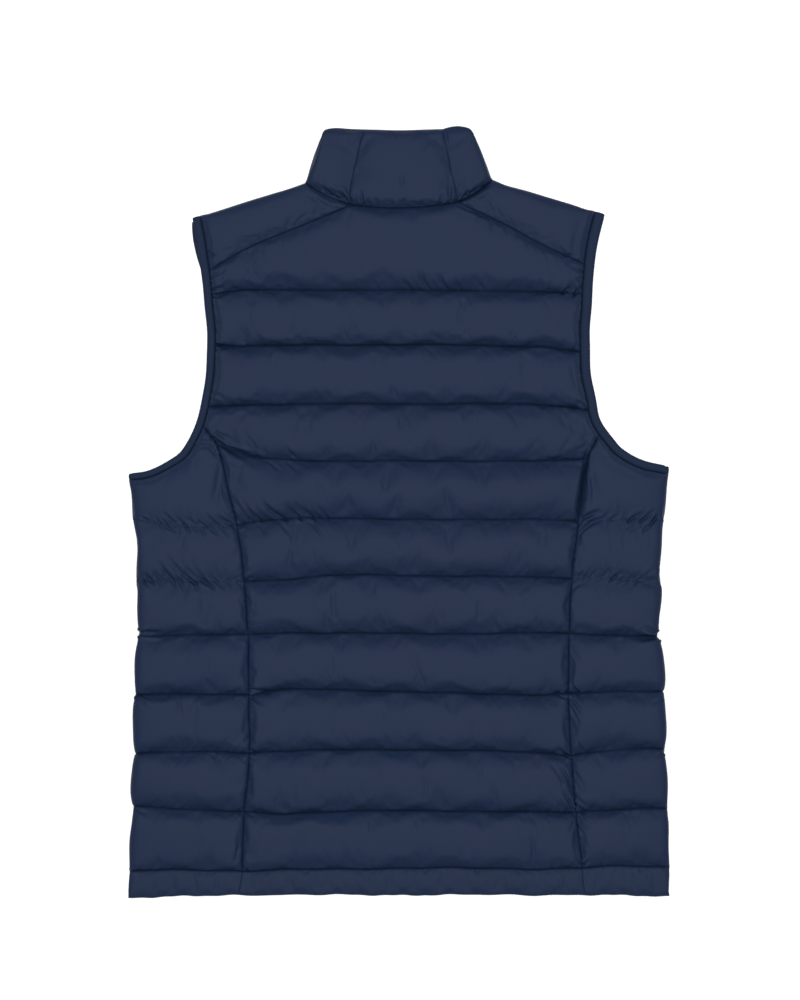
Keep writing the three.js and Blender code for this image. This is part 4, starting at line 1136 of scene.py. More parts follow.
# no point moves further than this many millimetres
CLOTH_CAP = 2.2
CLOTH_QUALITY = 4
CLOTH_MASS = 0.3
CLOTH_DAMPING = 4
CLOTH_STRETCH = 12
CLOTH_SHEAR = 4
CLOTH_BENDING = 0.12
CLOTH_PRESSURE = 2.2


def grid_faces(rows, columns, start=0):
    """Corner numbers of the quads of a grid whose points are numbered row by row."""
    corner = start + np.arange((rows - 1) * columns).reshape(rows - 1, columns)[:, :-1]
    corner = corner.reshape(-1)
    return np.stack([corner, corner + columns, corner + columns + 1, corner + 1], -1)


def border(rows, columns):
    """Numbers of a grid's edge points, all the way round."""
    top = [(0, j) for j in range(columns - 1)]
    right = [(i, columns - 1) for i in range(rows - 1)]
    bottom = [(rows - 1, j) for j in range(columns - 1, 0, -1)]
    left = [(i, 0) for i in range(rows - 1, 0, -1)]
    return top + right + bottom + left


def wall_mesh(name, outer, inner, step):
    """A closed wall in metres: the whole outer grid, and every step-th point of the inner one."""
    rows, columns = outer.shape[:2]
    thin = inner[::step, ::step]
    thin_rows, thin_columns = thin.shape[:2]
    points = np.vstack([outer.reshape(-1, 3), thin.reshape(-1, 3)]) * MM
    first_inner = rows * columns
    faces = grid_faces(rows, columns).tolist()
    faces += grid_faces(thin_rows, thin_columns, first_inner)[:, ::-1].tolist()
    rim = border(rows, columns)
    thin_rim = border(thin_rows, thin_columns)
    numbers = [i * columns + j for i, j in rim]
    thin_numbers = [first_inner + i * thin_columns + j for i, j in thin_rim]
    for k in range(len(thin_numbers)):
        outside = [numbers[(k * step + n) % len(numbers)] for n in range(step + 1)]
        inside = [thin_numbers[k], thin_numbers[(k + 1) % len(thin_numbers)]]
        faces.append(outside + inside[::-1])
    mesh = bpy.data.meshes.new(name)
    mesh.from_pydata(points.tolist(), [], faces)
    if signed_volume(mesh) < 0:
        mesh.flip_normals()
    return mesh


def signed_volume(mesh):
    work = bmesh.new()
    work.from_mesh(mesh)
    volume = work.calc_volume(signed=True)
    work.free()
    return volume


def double(values, axis):
    """Twice as many steps along one axis of a grid, on a smooth curve through its values."""
    values = np.moveaxis(values, axis, 0)
    before, after = 2 * values[:1] - values[1:2], 2 * values[-1:] - values[-2:-1]
    padded = np.concatenate([before, values, after])
    middle = (9 * (padded[1:-2] + padded[2:-1]) - padded[:-3] - padded[3:]) / 16
    result = np.empty((2 * len(values) - 1,) + values.shape[1:])
    result[::2], result[1::2] = values, middle
    return np.moveaxis(result, 0, axis)


def blow_up(panels):
    """Runs the cloth of all panels together and moves their outer faces to where it settles."""
    scene = bpy.context.scene
    running = []
    for panel in panels:
        outer = panel.outer[::SIM_STEP, ::SIM_STEP]
        inner = panel.inner[::SIM_STEP, ::SIM_STEP]
        mesh = wall_mesh(panel.name + "_loose", outer, inner, 1)
        cloth_object = bpy.data.objects.new(panel.name + "_loose", mesh)
        scene.collection.objects.link(cloth_object)
        rows, columns = outer.shape[:2]
        pinned = np.zeros((rows, columns), bool)
        pinned[[0, -1]] = True
        pinned[:, [0, -1]] = True
        for line in panel.lines:
            pinned[line // SIM_STEP] = True
        held = np.flatnonzero(pinned.reshape(-1)).tolist()
        held += range(rows * columns, 2 * rows * columns)
        cloth_object.vertex_groups.new(name="sewn").add(held, 1.0, "REPLACE")
        cloth = cloth_object.modifiers.new("Cloth", "CLOTH")
        settings = cloth.settings
        settings.quality = CLOTH_QUALITY
        settings.mass = CLOTH_MASS
        settings.air_damping = CLOTH_DAMPING
        settings.tension_stiffness = CLOTH_STRETCH
        settings.compression_stiffness = CLOTH_STRETCH
        settings.shear_stiffness = CLOTH_SHEAR
        settings.bending_stiffness = CLOTH_BENDING
        settings.shrink_min = settings.shrink_max = -CLOTH_SPARE
        settings.use_pressure = True
        settings.uniform_pressure_force = CLOTH_PRESSURE
        settings.vertex_group_mass = "sewn"
        settings.effector_weights.gravity = 0
        cloth.collision_settings.use_collision = False
        cloth.point_cache.frame_start = 1
        cloth.point_cache.frame_end = CLOTH_FRAMES
        running.append((panel, cloth_object, rows, columns))
    for number in range(1, CLOTH_FRAMES + 1):
        scene.frame_set(number)
    graph = bpy.context.evaluated_depsgraph_get()
    for panel, cloth_object, rows, columns in running:
        settled = cloth_object.evaluated_get(graph).data
        found = np.empty(len(settled.vertices) * 3)
        settled.vertices.foreach_get("co", found)
        found = found.reshape(-1, 3)[:rows * columns].reshape(rows, columns, 3) / MM
        move = found - panel.outer[::SIM_STEP, ::SIM_STEP]
        size = np.linalg.norm(move, axis=-1, keepdims=True)
        move = move * np.tanh(size / CLOTH_CAP) * CLOTH_CAP / np.maximum(size, TINY)
        panel.outer = panel.outer + double(double(move, 0), 1)
        panel.outer[..., 2] = np.maximum(panel.outer[..., 2], 0.0)
        mesh = cloth_object.data
        bpy.data.objects.remove(cloth_object)
        bpy.data.meshes.remove(mesh)
    scene.frame_set(1)


# Armhole binding: a tape folded over the edges of both layers, closed round the two folds

BINDING_STEP = 2.6
# width of the tape that shows: over the top and down the outer edge, in metres
BINDING_SWELL = 0.7
# one section of the tape: share across it from the outer edge, and height over the inside
BINDING_SECTION = ((0.05, 0.0), (0.0, 0.5), (0.0, 2.1), (0.06, 2.9), (0.2, 3.25), (0.5, 3.4),
                   (0.8, 3.2), (0.93, 2.8), (1.0, 2.0), (1.0, 0.0))
# which of these points are the tape's middle and its stitched edge, and how far those round the
# middle swell
BINDING_MIDDLE = 5
BINDING_EDGE = 7
BINDING_TOP = slice(3, 8)
TOP_SWELL = np.array([0.35, 0.75, 1, 0.7, 0.3])
# the swell comes and goes: its size, its wave, how the wave wanders, and where it dies down
BINDING_WAVE = 0.22
BINDING_WAVES = (5.3, 1.3, 17.0, 31.0)
# what the tape keeps clear beside a turn round a fold, and the samples that measure its edge
BINDING_CLEAR = 0.8
BINDING_SAMPLES = 200


def binding_stations(curve, first, last, tip, out):
    """Places along one layer's armhole edge that lie clear of the turns round the folds."""
    length = arc_lengths(curve["outer"](np.linspace(first, last, BINDING_SAMPLES)))[-1]
    at = np.linspace(first, last, steps(length, BINDING_STEP) + 1)
    clear = SEAM_THICKNESS + LAYER_GAP / 2 + BINDING_CLEAR
    places = curve["inner"](at)
    keep = np.ones(len(at), bool)
    for fold_tip, fold_out in zip(tip, out):
        keep &= (fold_tip - places) @ fold_out > clear
    return at[keep]


def armhole_binding(side):
    back, front = side.back, side.front
    underarm = np.array([side.sign, 0.0])
    tips = (back["inner"](0.0), back["inner"](1.0))
    outs = (side.shoulder_out, underarm)
    share = np.array([place for place, _ in BINDING_SECTION])[:, None]
    height = np.array([place for _, place in BINDING_SECTION])
    radius = SEAM_THICKNESS + LAYER_GAP / 2
    sections = []

    def flat_sections(curve, stations, layer):
        for t in stations:
            across = mix(curve["outer"](t), curve["inner"](t, SEAM_REACH), share)
            level = BACK_INSIDE + height if layer == "back" else FRONT_INSIDE - height
            sections.append(np.column_stack([across, level]))

    def turn(t, out, angles):
        across = mix(back["outer"](t), back["inner"](t, SEAM_REACH), share)
        for angle in np.radians(angles):
            reach = (height + LAYER_GAP / 2) * math.cos(angle) - radius
            level = MIDDLE_Z + (height + LAYER_GAP / 2) * math.sin(angle)
            sections.append(np.column_stack([across + reach[:, None] * out, level]))

    round_fold = np.linspace(90, -90, FOLD_STEPS + 1)
    flat_sections(back, binding_stations(back, 0.0, 1.0, tips, outs), "back")
    turn(1.0, underarm, round_fold)
    flat_sections(front, binding_stations(front, 0.0, 1.0, tips, outs)[::-1], "front")
    turn(0.0, side.shoulder_out, round_fold[::-1])
    ring = waver(np.array(sections))
    count, corners = ring.shape[:2]
    # the tape's top waves a little between its stitches
    run = arc_lengths(ring[:, BINDING_MIDDLE])
    length, wander, wander_length, pause = BINDING_WAVES
    wave = BINDING_WAVE * np.sin(run / length + wander * np.sin(run / wander_length))
    wave = wave * np.sin(run / pause + side.sign)
    upward = np.where(ring[:, BINDING_MIDDLE, 2] > MIDDLE_Z, 1.0, -1.0)
    ring[:, BINDING_TOP, 2] += (upward * (BINDING_SWELL + wave))[:, None] * TOP_SWELL
    number = np.arange(count * corners).reshape(count, corners)
    ahead = np.roll(number, -1, 0)
    faces = np.stack([number, np.roll(number, -1, 1), np.roll(ahead, -1, 1), ahead], -1)
    mesh = bpy.data.meshes.new(f"binding_tape_{side.name}")
    mesh.from_pydata((ring.reshape(-1, 3) * MM).tolist(), [], faces.reshape(-1, 4).tolist())
    if signed_volume(mesh) < 0:
        mesh.flip_normals()
    return mesh, ring


# Stitches

# Stitches by the seam that they hold: the distance from one to the next, length and radius
QUILT_STITCH = (3.2, 2.3, 0.24)
FRONT_STITCH = (3.6, 2.4, 0.24)
BINDING_STITCH = (2.6, 1.9, 0.2)
# shares of a stitch's length where its round part ends, and of its radius that it stands up
STITCH_ROUND = 0.3
STITCH_LIFT = 0.45
STITCH_SIDES = 5


def stitches(name, runs, kind=QUILT_STITCH):
    """One mesh of thread, a short rounded stitch at each step of every run of points."""
    pitch, length, radius = kind
    # a stitch lies along X: a tip, two rings of points and the other tip
    count = STITCH_SIDES
    ring = np.radians(np.arange(count) * 360 / count)
    shape = [(-0.5, 0, 0)]
    for along in (-STITCH_ROUND, STITCH_ROUND):
        shape += [(along, math.cos(a), math.sin(a)) for a in ring]
    shape.append((0.5, 0, 0))
    shape = np.array(shape) * (length, radius, radius)
    last, second = 2 * count + 1, count + 1
    tips = [(0, 1 + (k + 1) % count, 1 + k) for k in range(count)]
    tips += [(last, second + k, second + (k + 1) % count) for k in range(count)]
    sides = [(1 + k, 1 + (k + 1) % count, second + (k + 1) % count, second + k)
             for k in range(count)]
    points, faces = [], []
    for run, up in runs:
        run, up = np.asarray(run, float), np.asarray(up, float)
        along = arc_lengths(run)
        for at in np.arange(pitch / 2, along[-1] - pitch / 2, pitch):
            here, before, after, lift = (
                np.array([np.interp(at + step, along, values[:, k]) for k in range(3)])
                for values, step in ((run, 0), (run, -1), (run, 1), (up, 0)))
            forward = unit(after - before)
            sideways = unit(np.cross(lift, forward))
            axes = np.stack([forward, sideways, np.cross(forward, sideways)])
            start = len(points) * len(shape)
            points.append(here + lift * radius * STITCH_LIFT + shape @ axes)
            faces += [tuple(start + k for k in face) for face in tips + sides]
    mesh = bpy.data.meshes.new(name)
    mesh.from_pydata((np.vstack(points) * MM).tolist(), [], faces)
    return mesh


def line_runs(panel):
    """Runs of points along the quilt lines of a panel with the directions away from the cloth."""
    normals = panel.normals()
    return [(panel.outer[row, 1:-1], normals[row, 1:-1]) for row in panel.lines[1:-1]]


# Zip

TAPE_WIDTH = 3.9
TAPE_BOTTOM = 4.6
TAPE_THICKNESS = 1.0
COIL_WIDTH = 5.0
COIL_PITCH = 1.5
ZIP_TOP = 318.0
# the tape is let in at its top and bottom face, and its rib stands this far beside the coil
TAPE_LET_IN = (0.15, 0.1)
RIB_AWAY = 0.75
RIB_HALF = 0.3
RIB_ENDS = 0.5
TAPE_BEVEL = 0.12
# one loop of the coil, from the tape's edge to its head just over the middle: the share of the
# way, half its width and half its height, and where the loops of each side lie in a pitch
COIL_LOOP = ((0, 0.2, 0.3), (0.1, 0.3, 0.66), (0.75, 0.3, 0.66), (0.9, 0.36, 0.72),
             (1, 0.12, 0.2))
COIL_HEAD = 0.45
COIL_RINGS = 6
COIL_CORNERS = 6
COIL_SHIFTS = ((-1, 0.25), (1, 0.75))


def box_mesh(name, boxes, bevel):
    """Boxes with rounded edges, joined in one mesh, from their lowest and highest corners."""
    work = bmesh.new()
    for low, high in boxes:
        low, high = np.array(low) * MM, np.array(high) * MM
        made = bmesh.ops.create_cube(work, size=1.0)["verts"]
        for vertex in made:
            vertex.co = [mix(low[k], high[k], vertex.co[k] + 0.5) for k in range(3)]
    bmesh.ops.bevel(work, geom=work.edges[:], offset=bevel * MM, segments=2, profile=0.5,
                    affect="EDGES")
    mesh = bpy.data.meshes.new(name)
    work.to_mesh(mesh)
    work.free()
    return mesh


def zip_tape(side):
    """A woven tape with a rolled outer edge and a raised rib beside the coil."""
    edge = side.sign * (ZIP_EDGE + SEAM_REACH)
    near = edge - side.sign * TAPE_WIDTH
    low, high = min(edge, near), max(edge, near)
    rib = side.sign * (COIL_WIDTH / 2 + RIB_AWAY)
    bottom, top = TAPE_BOTTOM + TAPE_LET_IN[0], TAPE_BOTTOM + TAPE_THICKNESS - TAPE_LET_IN[1]
    boxes = [((low, HEM_MIDDLE_Y, bottom), (high, ZIP_TOP, top)),
             ((rib - RIB_HALF, HEM_MIDDLE_Y + RIB_ENDS, TAPE_BOTTOM),
              (rib + RIB_HALF, ZIP_TOP - RIB_ENDS, TAPE_BOTTOM + RIB_HALF))]
    return box_mesh(f"zip_cloth_{side.name}", boxes, TAPE_BEVEL)


def zip_coil():
    """The closed coil: loops of thick thread from both sides that lock in the middle."""
    middle_z = TAPE_BOTTOM + TAPE_THICKNESS / 2
    points, faces = [], []
    turn = np.radians(np.arange(COIL_CORNERS) * 360 / COIL_CORNERS)
    along = np.linspace(0, 1, COIL_RINGS)
    loop_at, loop_size, loop_tall = zip(*COIL_LOOP)
    size, tall = np.interp(along, loop_at, loop_size), np.interp(along, loop_at, loop_tall)
    corner = np.arange(COIL_CORNERS)
    for number in range(int((ZIP_TOP - HEM_MIDDLE_Y) / COIL_PITCH)):
        for sign, shift in COIL_SHIFTS:
            y = HEM_MIDDLE_Y + (number + shift) * COIL_PITCH
            x = sign * mix(COIL_WIDTH / 2, -COIL_HEAD, along)
            start = len(points)
            for k in range(COIL_RINGS):
                points += [(x[k], y + size[k] * math.cos(a), middle_z + tall[k] * math.sin(a))
                           for a in turn]
            made = []
            for k in range(COIL_RINGS - 1):
                near = start + k * COIL_CORNERS + corner
                ahead = np.roll(near, -1)
                made += np.stack([near, ahead, ahead + COIL_CORNERS, near + COIL_CORNERS],
                                 -1).tolist()
            made.append((start + corner)[::-1].tolist())
            made.append((start + (COIL_RINGS - 1) * COIL_CORNERS + corner).tolist())
            faces += [face if sign < 0 else face[::-1] for face in made]
    mesh = bpy.data.meshes.new("zip_coil")
    mesh.from_pydata((np.array(points) * MM).tolist(), [], faces)
    return mesh


# Materials

def new_group(name, inputs, outputs):
    """A shader node group with named inputs and outputs, and its two end nodes."""
    group = bpy.data.node_groups.new(name, "ShaderNodeTree")
    for label, kind, value in inputs:
        socket = group.interface.new_socket(name=label, in_out="INPUT", socket_type=kind)
        socket.default_value = value
    for label, kind in outputs:
        group.interface.new_socket(name=label, in_out="OUTPUT", socket_type=kind)
    return group, group.nodes.new("NodeGroupInput"), group.nodes.new("NodeGroupOutput")


def math_node(tree, operation, *values):
    node = tree.nodes.new("ShaderNodeMath")
    node.operation = operation
    for k, value in enumerate(values):
        if isinstance(value, (int, float)):
            node.inputs[k].default_value = value
        else:
            tree.links.new(value, node.inputs[k])
    return node.outputs[0]


def noise_node(tree, vector, scale, detail=2.0):
    node = tree.nodes.new("ShaderNodeTexNoise")
    node.inputs["Detail"].default_value = detail
    tree.links.new(vector, node.inputs["Vector"])
    if isinstance(scale, (int, float)):
        node.inputs["Scale"].default_value = scale
    else:
        tree.links.new(scale, node.inputs["Scale"])
    return node.outputs["Fac"]


def weave_group():
    """Plain weave: threads over and under each other, with uneven yarn."""
    tree, start, end = new_group(
        "Woven threads",
        [("Threads per metre", "NodeSocketFloat", 2400.0), ("Unevenness", "NodeSocketFloat", 0.3)],
        [("Height", "NodeSocketFloat")])
    place = tree.nodes.new("ShaderNodeTexCoord").outputs["Object"]
    split = tree.nodes.new("ShaderNodeSeparateXYZ")
    tree.links.new(place, split.inputs[0])
    pace = math_node(tree, "MULTIPLY", start.outputs["Threads per metre"], math.pi)
    waves = [math_node(tree, "SINE", math_node(tree, "MULTIPLY", split.outputs[k], pace))
             for k in (0, 1)]
    cells = math_node(tree, "MULTIPLY", *waves)
    yarn = noise_node(tree, place, 900.0)
    uneven = math_node(tree, "MULTIPLY", yarn, start.outputs["Unevenness"])
    tree.links.new(math_node(tree, "ADD", cells, uneven), end.inputs["Height"])
    return tree


def wrinkle_group():
    """Small soft rumples of thin cloth, longer across the vest than down it."""
    tree, start, end = new_group(
        "Fine rumples",
        [("Scale", "NodeSocketFloat", 60.0), ("Stretch", "NodeSocketFloat", 0.6)],
        [("Height", "NodeSocketFloat")])
    place = tree.nodes.new("ShaderNodeTexCoord").outputs["Object"]
    stretch = tree.nodes.new("ShaderNodeCombineXYZ")
    tree.links.new(start.outputs["Stretch"], stretch.inputs[0])
    for k in (1, 2):
        stretch.inputs[k].default_value = 1.0
    scaled = tree.nodes.new("ShaderNodeVectorMath")
    scaled.operation = "MULTIPLY"
    tree.links.new(place, scaled.inputs[0])
    tree.links.new(stretch.outputs[0], scaled.inputs[1])
    broad = noise_node(tree, scaled.outputs[0], start.outputs["Scale"], 3.0)
    tree.links.new(broad, end.inputs["Height"])
    return tree


def tone_group():
    """A colour that drifts a little over the surface, as dyed nylon does."""
    tree, start, end = new_group(
        "Dyed tone",
        [("Colour", "NodeSocketColor", (0.02, 0.03, 0.06, 1)),
         ("Other colour", "NodeSocketColor", (0.03, 0.03, 0.07, 1)),
         ("Scale", "NodeSocketFloat", 25.0)],
        [("Colour", "NodeSocketColor")])
    place = tree.nodes.new("ShaderNodeTexCoord").outputs["Object"]
    patches = noise_node(tree, place, start.outputs["Scale"], 3.0)
    blend = tree.nodes.new("ShaderNodeMix")
    blend.data_type = "RGBA"
    tree.links.new(patches, blend.inputs["Factor"])
    tree.links.new(start.outputs["Colour"], blend.inputs["A"])
    tree.links.new(start.outputs["Other colour"], blend.inputs["B"])
    tree.links.new(blend.outputs["Result"], end.inputs["Colour"])
    return tree


WEAVE, RUMPLES, TONE = weave_group(), wrinkle_group(), tone_group()


def place_group(tree, group, **values):
    node = tree.nodes.new("ShaderNodeGroup")
    node.node_tree = group
    for label, value in values.items():
        node.inputs[label.replace("_", " ")].default_value = value
    return node


def finish_material(name, colour, other, roughness, weave=2400.0, weave_depth=0.00003,
                    rumple=60.0, rumple_depth=0.0004, metallic=0.0, specular=0.4):
    """A material with its own tone, threads and rumples from the shared groups."""
    material = bpy.data.materials.new(name)
    material.use_nodes = True
    tree = material.node_tree
    shader = tree.nodes["Principled BSDF"]
    shader.inputs["Roughness"].default_value = roughness
    shader.inputs["Metallic"].default_value = metallic
    shader.inputs["Specular IOR Level"].default_value = specular
    tone = place_group(tree, TONE, Colour=(*colour, 1), Other_colour=(*other, 1))
    tree.links.new(tone.outputs["Colour"], shader.inputs["Base Color"])
    bumps = []
    for group, depth, values in ((RUMPLES, rumple_depth, {"Scale": rumple}),
                                 (WEAVE, weave_depth, {"Threads_per_metre": weave})):
        bump = tree.nodes.new("ShaderNodeBump")
        bump.inputs["Strength"].default_value = 1.0
        bump.inputs["Distance"].default_value = depth
        placed = place_group(tree, group, **values)
        tree.links.new(placed.outputs["Height"], bump.inputs["Height"])
        if bumps:
            tree.links.new(bumps[-1].outputs["Normal"], bump.inputs["Normal"])
        bumps.append(bump)
    tree.links.new(bumps[-1].outputs["Normal"], shader.inputs["Normal"])
    return material


NYLON = finish_material("navy_nylon", (0.0088, 0.0204, 0.0480), (0.0132, 0.0199, 0.0492), 0.48,
                        specular=0.066)
TAPE = finish_material("matte_navy_tape", (0.0080, 0.0165, 0.0415), (0.0088, 0.0170, 0.0425), 0.6,
                       weave=1700.0, weave_depth=0.00004, rumple=140.0, rumple_depth=0.0002,
                       specular=0.08)
# thread: its own navy, made darker than the nylon with painted shade, so that the stitches read as
# dark as the shaded grooves of the quilt lines and the binding's seam
SHADED_THREAD = finish_material("navy_thread_painted_shade", (0.0055, 0.0105, 0.028), (0.0065, 0.0115, 0.030), 0.7,
                         weave=5000.0, weave_depth=0.00002, specular=0.04)
ZIP_CLOTH = finish_material("zip_tape_weave", (0.009, 0.014, 0.032), (0.011, 0.016, 0.035), 0.8,
                            weave=1200.0, weave_depth=0.00008, specular=0.25)
COIL = finish_material("nylon_coil", (0.01, 0.015, 0.03), (0.012, 0.017, 0.034), 0.35,
                       weave=4000.0, weave_depth=0.00001, specular=0.5)
METAL = finish_material("dark_zip_metal", (0.03, 0.034, 0.045), (0.04, 0.043, 0.052), 0.32,
                        weave=3500.0, weave_depth=0.000008, rumple=300.0, rumple_depth=0.00004,
                        metallic=0.9)


# The pieces of cloth

# how strongly puckers slant, where they stand straight, and how soon they lean from there
BACK_LEAN = 0.9
LEAN_MIDDLE = 60
LEAN_REACH = 90.0
SIDE_LEANS = (1.3, -1.2)
# the puckers along a back line are shallower in its middle: their share there, where they are
# whole, and how late they get there
MIDDLE_SHARE = 0.35
WHOLE_AT = 150.0
WHOLE_POWER = 2.5


def lean_outwards(strength):
    """How far puckers slant: to the nearer side above a line, to the middle below it."""
    return lambda x: strength * math.tanh((x - LEAN_MIDDLE) / LEAN_REACH)


def lean_evenly(strength):
    return lambda x: strength


def more_at_ends(x):
    return mix(MIDDLE_SHARE, 1.0, min(abs(x) / WHOLE_AT, 1.0) ** WHOLE_POWER)


def add_piece(mesh, material, nodes=(), body="garment", smooth=True):
    piece = bpy.data.objects.new(mesh.name, mesh)
    bpy.context.scene.collection.objects.link(piece)
    mesh.materials.clear()
    mesh.materials.append(material)
    if smooth:
        mesh.shade_smooth()
    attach(piece, body)
    if nodes:
        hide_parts(*nodes)
    return piece


# The main creases, from where each is deepest to where it fades, on the back and sides

SHARPER = 0.68
DEEPER = 2.2


def main_crease(start, end, width, depth, bow=0.0):
    return Crease(start, end, width * SHARPER, depth * DEEPER, bow)


MAIN_CREASES = [main_crease(*values) for values in (
    # over line 5, left of the back
    ((-148, -8), (-168, 17), 2.6, 1.5, 1.5), ((-139, -8), (-159, 11), 2.4, 1.3, 1.0),
    ((-116, -7), (-140, 13), 2.8, 1.6, 1.5), ((-112, -8), (-127, 5), 2.2, 1.0),
    ((-98, -7), (-115, 10), 2.6, 1.5, 1.0), ((-84, -7), (-100, 6), 2.4, 1.1),
    ((-70, -7), (-84, 8), 2.2, 0.8), ((-86, -12), (-74, -26), 2.2, 1.0),
    ((-118, -12), (-106, -24), 2.2, 0.8), ((-140, -12), (-130, -24), 2.2, 0.8),
    # where lines 3 and 4 end on the left
    ((-180, 69), (-146, 53), 3.4, 2.2, -1.5), ((-176, 66), (-134, 51), 2.4, 1.2, 1.0),
    ((-181, 78), (-168, 74), 2.2, 1.2), ((-172, 49), (-155, 47), 2.2, 1.2),
    ((-128, 49), (-118, 40), 2.0, 0.8), ((-110, 49), (-98, 38), 2.2, 0.8),
    ((-104, 55), (-114, 64), 2.0, 0.7), ((-186, 65), (-208, 60), 2.6, 1.3, -3.0),
    ((-184, 74), (-200, 73), 2.2, 1.0), ((-180, 57), (-192, 66), 2.2, 1.1, 1.0),
    # round line 5 on the left side
    ((-225, -10), (-238, 1), 2.0, 0.9), ((-224, -19), (-240, -9), 2.0, 0.8, 0.8),
    ((-203, -13), (-212, -5), 1.9, 0.8), ((-181, -13), (-195, -1), 2.0, 0.9),
    ((-163, -15), (-184, -2), 2.4, 1.3, 1.0), ((-160, -9), (-177, 2), 2.0, 0.9),
    ((-212, -15), (-224, -4), 1.9, 0.7), ((-192, -15), (-206, -7), 1.9, 0.7),
    # over line 6 on the left side
    ((-226, -68), (-242, -48), 2.6, 1.4, 1.0), ((-203, -71), (-236, -41), 3.0, 1.6, 2.0),
    ((-192, -72), (-223, -48), 2.6, 1.2, 1.5), ((-186, -75), (-209, -50), 2.6, 1.1, 1.5),
    ((-245, -71), (-255, -61), 2.2, 1.0), ((-254, -70), (-260, -62), 2.0, 0.9),
    # beside the left princess seam
    ((-150, -155), (-140, -163), 2.0, 1.0), ((-150, -178), (-126, -182), 2.6, 1.4, 1.0),
    ((-149, -184), (-132, -192), 2.4, 1.3, -1.0), ((-150, -225), (-156, -230), 2.0, 1.1),
    ((-150, -210), (-141, -216), 2.0, 0.9), ((-154, -300), (-140, -305), 2.2, 1.1),
    ((-161, -338), (-165, -354), 2.2, 1.2), ((-153, -68), (-144, -64), 2.0, 1.0),
    ((-155, -60), (-146, -56), 2.0, 0.9), ((-150, -103), (-139, -103), 1.9, 0.9),
    ((-158, -26), (-150, -21), 1.9, 0.8), ((-153, -90), (-141, -92), 1.9, 0.8),
    # at the left fold
    ((-262, -184), (-250, -195), 2.4, 1.4), ((-262, -182), (-246, -187), 2.2, 1.1),
    ((-262, -121), (-232, -121), 3.2, 2.0), ((-220, -189), (-216, -208), 2.6, 0.6),
    ((-186, -243), (-177, -251), 2.2, 0.8), ((-262, -297), (-250, -303), 2.2, 1.0),
    # right of the collar, and where line 1 ends at the armholes
    ((60, 306), (101, 288), 2.2, 1.3, 0.5), ((164, 219), (174, 226), 2.4, 1.2),
    ((175, 217), (189, 231), 2.6, 1.5), ((185, 214), (192, 226), 2.2, 1.2),
    ((167, 256), (180, 257), 2.2, 0.9), ((186, 239), (168, 249), 2.4, 0.9, 1.0),
    ((-190, 260), (-177, 249), 2.2, 1.1), ((-189, 232), (-173, 242), 2.2, 1.1, 1.0),
    ((-188, 222), (-174, 224), 2.2, 1.3), ((-188, 214), (-174, 218), 2.4, 1.5),
    ((-186, 173), (-177, 187), 2.2, 1.1, 1.0), ((-187, 168), (-166, 164), 2.4, 1.3),
    ((-187, 161), (-168, 165), 2.2, 1.1), ((-184, 118), (-172, 112), 2.4, 1.1),
    ((186, 105), (174, 112), 2.2, 1.0), ((187, 166), (176, 158), 2.2, 1.0),
    # over line 1, right of the middle
    ((12, 223), (2, 233), 2.4, 0.9), ((29, 224), (20, 239), 2.8, 1.2, 1.0),
    ((47, 224), (38, 239), 2.8, 1.2, 1.0), ((61, 223), (54, 235), 2.4, 0.9),
    ((-20, 223), (-26, 231), 2.2, 0.7), ((84, 223), (78, 232), 2.2, 0.7),
    # the right princess seam and the side beyond it
    ((186, 66), (178, 62), 2.2, 1.2), ((186, 74), (180, 80), 2.0, 1.0),
    ((184, -6), (204, 1), 2.6, 1.5, 1.0), ((181, -20), (203, -6), 2.8, 1.8, 1.5),
    ((229, -9), (248, 1), 2.2, 1.0), ((241, -10), (258, 4), 2.2, 1.0),
    ((244, -19), (263, -2), 2.2, 1.1), ((228, -15), (243, -7), 2.0, 0.8),
    ((231, -19), (246, -9), 2.0, 0.8), ((252, -12), (262, 3), 2.0, 0.8),
    ((213, -67), (225, -59), 2.2, 1.0), ((234, -67), (243, -59), 2.0, 0.9),
    ((248, -62), (261, -53), 2.2, 0.9), ((174, -76), (184, -69), 2.2, 1.1),
    ((175, -48), (168, -42), 2.0, 0.9), ((175, -38), (165, -30), 2.0, 0.9),
    ((262, -125), (236, -126), 3.4, 2.4), ((258, -121), (244, -114), 2.6, 1.4),
    ((173, -138), (184, -153), 2.2, 1.0), ((173, -174), (186, -189), 2.4, 1.3),
    ((173, -187), (186, -203), 2.4, 1.2), ((172, -196), (181, -214), 2.2, 0.9),
    ((168, -186), (154, -180), 2.4, 1.3), ((172, -246), (157, -236), 2.4, 1.4),
    ((172, -272), (155, -250), 2.6, 1.6, -1.0), ((163, -268), (149, -249), 2.4, 1.2, -1.0),
    ((173, -296), (161, -275), 2.6, 1.5, -1.0), ((177, -262), (184, -272), 2.2, 0.9),
    ((176, -292), (190, -305), 2.6, 1.7), ((176, -284), (188, -296), 2.2, 1.0),
    ((180, -308), (192, -320), 2.2, 1.2), ((178, -312), (188, -326), 2.0, 0.9),
    ((174, -312), (168, -322), 2.0, 1.0), ((180, -232), (186, -242), 2.0, 0.8),
    ((262, -187), (252, -192), 2.2, 1.0), ((265, -240), (254, -246), 2.2, 0.9),
    ((184, -352), (194, -346), 2.2, 1.2), ((183, -352), (175, -344), 2.2, 1.2),
)]

